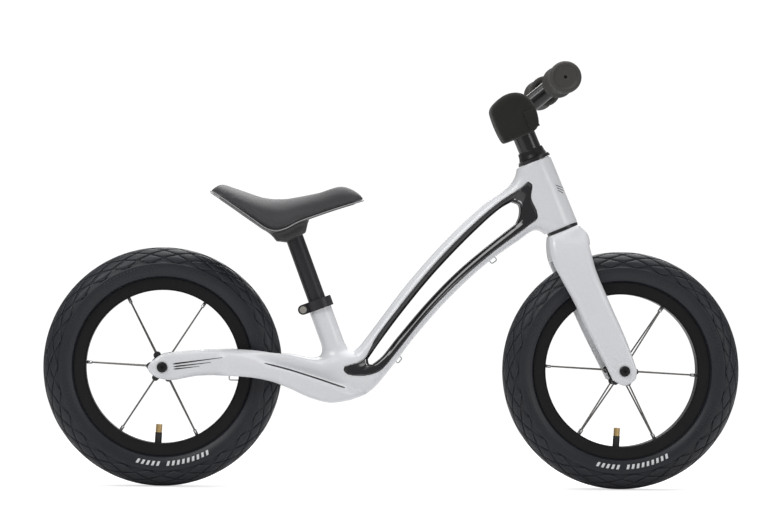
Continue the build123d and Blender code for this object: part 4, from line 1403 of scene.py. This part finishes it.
@dataclass
class StemPad:
    """Soft pad wrapped round the stem and closed with a hook-and-loop flap."""

    half: float = 29.0
    clearance: float = 0.7

    def __post_init__(self) -> None:
        """Draw the pad's outline, in front of and up the steering axis."""
        self.outline = Outline([(-29, 317), (-31, 332), (-31, 352), (-29, 364), (-19, 371),
                                (-3, 375), (13, 371), (22, 361), (25.5, 350), (25.5, 338),
                                (22, 324), (15, 318), (-8, 317), (-29, 317)])

    def form(self, x: np.ndarray, y: np.ndarray, z: np.ndarray) -> np.ndarray:
        """Distance to the pad's form before it is stuffed."""
        side = self.outline.distance(STEERING.ahead(x, z), STEERING.up(x, z)) + 1.0
        return common(side, np.abs(y) - self.half + 1.5, 9.0)

    def build(self) -> None:
        """Make the pad, then open it for the steerer and the arm, then add the flap."""
        low, high = (118, -30, 424), (196, 30, 500)
        form = skin("stem_pad_form", self.form, low, high, 3.0)
        pad = Padding(3.2, 3.0, 1.5).stuff(form, lambda place: 0.0)
        pad.name = "stem_pad_soft"
        tree = BVHTree.FromObject(pad, bpy.context.evaluated_depsgraph_get())
        for cutter in self.cutters():
            modify(pad, "BOOLEAN", operation="DIFFERENCE", solver="EXACT", object=cutter)
            bpy.data.objects.remove(cutter)
        shade_smooth(pad.data)
        add(pad, "steering", FINISHES["pad_neoprene"], "pad_neoprene", "stem_pad")
        add(self.flap(tree), "steering", FINISHES["pad_neoprene"], "pad_neoprene")

    def cutters(self) -> List[bpy.types.Object]:
        """Round bars that open the pad for the steerer and for the arm."""
        start = Vector(STEERING.place(0.0, 0.0, 300.0))
        end = Vector(STEERING.place(0.0, 0.0, 358.0))
        arm = Vector(STEERING.place(0.0, 0.0, 345.0))
        tip = Vector(STEERING.place(60.0, 0.0, 363.1))
        return [round_bar("bore", start, end, 15.2), round_bar("arm_hole", arm, tip, 11.8)]

    def flap(self, tree: BVHTree) -> bpy.types.Object:
        """The overlapping end of the wrap, on the right-hand face."""
        grid = []
        for ahead in np.linspace(7.0, 21.0, 12):
            row = []
            for up in np.linspace(322.0, 345.0, 16):
                x, _, z = STEERING.place(float(ahead), 0.0, float(up))
                hit = tree.ray_cast(Vector((x * MM, -0.06, z * MM)), Vector((0, 1, 0)))[0]
                y = hit.y / MM if hit is not None else -self.half + 6.0
                row.append((x, y - 1.3, z))
            grid.append(row)
        return patch("stem_pad_flap", np.array(grid), np.array([0, 2.2, 0]))


def round_bar(name: str, start: Vector, end: Vector, radius: float) -> bpy.types.Object:
    """A round bar between two points, used as a cutter."""
    way = (end - start).normalized()
    side = way.orthogonal().normalized()
    other = way.cross(side)
    rings = []
    for centre in (start, end):
        rings.append([tuple(centre + (side * math.cos(t) + other * math.sin(t)) * radius)
                      for t in np.linspace(0, 2 * math.pi, 48, endpoint=False)])
    return loft(name, np.array(rings))


# ---------------------------------------------------------------- grips

@dataclass
class Grip:
    """Rubber grip with a flange at each end, ribs on the body and a dished, holed end wall."""

    side: int
    bar: Tuple[float, float] = (55.0, 361.6)
    start: float = 88.0
    end: float = 195.0
    rib_pitch: float = 3.1
    ribs_end: float = 166.0

    def profile(self) -> List[Point]:
        """Closed section as (radius, y)."""
        points = [(r, self.start + y) for r, y in (
            (11.3, 0.0), (18.2, 0.0), (19.1, 0.7), (19.3, 1.8), (19.0, 3.0), (17.4, 4.1),
            (15.4, 5.0), (14.8, 7.0))]
        place = self.start + 12.0
        while place < self.ribs_end:
            points += [(14.6, place), (14.1, place + 0.5), (14.1, place + 1.1), (14.6, place + 1.6)]
            place += self.rib_pitch
        points += [(14.6, 168), (15.2, 171), (16.6, 174.6), (18.5, 177.8), (19.25, 180.2),
                   (19.45, 183), (19.45, 189.5), (19.15, 191.8), (18.3, 193.7), (16.9, 194.8),
                   (15.8, self.end), (14.9, 194.8), (14.2, 194.1), (13.4, 193.2), (12.0, 192.7),
                   (7.0, 192.4), (2.4, 192.3), (1.9, 191.9), (1.8, 189.2), (11.3, 189.2)]
        return points

    def build(self) -> None:
        """Make the grip."""
        x, _, z = STEERING.place(self.bar[0], 0.0, self.bar[1])
        name = "grip_left" if self.side > 0 else "grip_right"
        points = [(r, y * self.side) for r, y in self.profile()]
        piece = spun(f"{name}_rubber", points, x, z, 72)
        add(piece, "steering", FINISHES["grip_rubber"], "grip_rubber", name)


# ---------------------------------------------------------------- studio

@dataclass
class Studio:
    """Camera, soft lights and a pale floor."""

    camera: Tuple[float, float, float] = (-190.0, -4363.6, 231.6)
    yaw: float = 2.43
    pitch: float = 0.63
    roll: float = 0.56
    focal: float = 3495.9
    width: int = 779
    sensor: float = 36.0
    surround: float = 0.30
    backdrop: float = 1.05
    floor_reach: float = 1800.0

    def build(self) -> None:
        """Make everything that isn't the object."""
        self.place_camera()
        self.lights()
        self.floor()

    def place_camera(self) -> None:
        """Set the camera from its yaw, pitch and roll."""
        yaw, pitch, roll = (math.radians(a) for a in (self.yaw, self.pitch, self.roll))
        ahead = Vector((math.sin(yaw) * math.cos(pitch), math.cos(yaw) * math.cos(pitch),
                        math.sin(pitch)))
        right = Vector((math.cos(yaw), -math.sin(yaw), 0.0))
        up = right.cross(ahead)
        turned_right = right * math.cos(roll) + up * math.sin(roll)
        turned_up = up * math.cos(roll) - right * math.sin(roll)
        data = bpy.data.cameras.new("camera")
        data.sensor_width = self.sensor
        data.lens = self.focal * self.sensor / self.width
        data.clip_end = 60.0
        camera = new_object("camera", data)
        turn = Matrix((turned_right, turned_up, -ahead)).transposed().to_4x4()
        camera.matrix_world = Matrix.Translation(Vector(self.camera) * MM) @ turn
        bpy.context.scene.camera = camera
        bpy.context.scene.view_settings.view_transform = "Standard"

    def lights(self) -> None:
        """A surround that is white to the eye but gives little light, and large soft lights."""
        world = bpy.data.worlds.new("studio")
        world.use_nodes = True
        world.node_tree.nodes.clear()
        graph = Graph(world.node_tree)
        seen = graph.node("ShaderNodeLightPath", out="Is Camera Ray")
        dim, plain = (graph.node("ShaderNodeBackground", {}, {
            "Color": (1, 1, 1, 1), "Strength": strength})
            for strength in (self.surround, self.backdrop))
        mixed = graph.node("ShaderNodeMixShader", {}, {0: seen, 1: dim, 2: plain})
        output = world.node_tree.nodes.new("ShaderNodeOutputWorld")
        graph.feed(output.inputs["Surface"], mixed)
        bpy.context.scene.world = world
        for name, place, size, power in (
                ("key", (-1.6, -1.7, 2.3), 1.5, 32.0), ("fill", (2.4, -2.0, 0.9), 1.2, 12.0),
                ("top", (0.1, 0.2, 2.2), 2.0, 30.0), ("back", (0.4, 2.3, 1.9), 2.0, 26.0)):
            data = bpy.data.lights.new(name, "AREA")
            data.size = size
            data.energy = power
            light = new_object(name, data)
            light.location = place
            aim = Vector((0.0, 0.0, 0.25)) - Vector(place)
            light.rotation_euler = aim.to_track_quat("-Z", "Y").to_euler()

    def floor(self) -> None:
        """A wide pale floor with a faint glow, so that it ends without a visible edge."""
        reach = self.floor_reach
        corners = [(-reach, -reach, 0), (reach, -reach, 0), (reach, reach, 0), (-reach, reach, 0)]
        ground = make_piece("floor", np.array(corners), [(0, 1, 2, 3)])
        finish = Finish("floor", (0.86, 0.86, 0.865), (0.88, 0.88, 0.885), 0.8, 0.03,
                        per_metre=40.0, relief=0.02, patch_per_metre=0.6, glow=0.50)
        ground.data.materials.append(finish.build())


# ---------------------------------------------------------------- the whole bike

def dress_cad(frame: Dict[str, object]) -> None:
    """Give each CAD node its finish, through its own material slots."""
    slots = {row["node"]: row["material_slot"] for row in frame["record"]["subparts"]}
    for name, node in frame["nodes"].items():
        for slot in node.material_slots:
            slot.material = FINISHES[slots[name]].build()
    LOG.info("dressed %d CAD nodes", len(frame["nodes"]))


def main() -> None:
    """Load the CAD model, then build each sub-assembly around it."""
    logging.basicConfig(level=logging.INFO, format="%(name)s: %(message)s")
    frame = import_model()
    Studio().build()
    dress_cad(frame)
    shell = FrameShell()
    shell.build()
    bezel = SlotBezel(shell)
    bezel.build(1)
    bezel.build(-1)
    FrameTrim(shell).build()
    Fork().build()
    for wheel in (Wheel("rear", REAR_X, "rear_wheel"), Wheel("front", FRONT_X, "front_wheel")):
        wheel.build()
    Saddle().build()
    StemPad().build()
    Grip(1).build()
    Grip(-1).build()


if __name__ == "__main__":
    main()
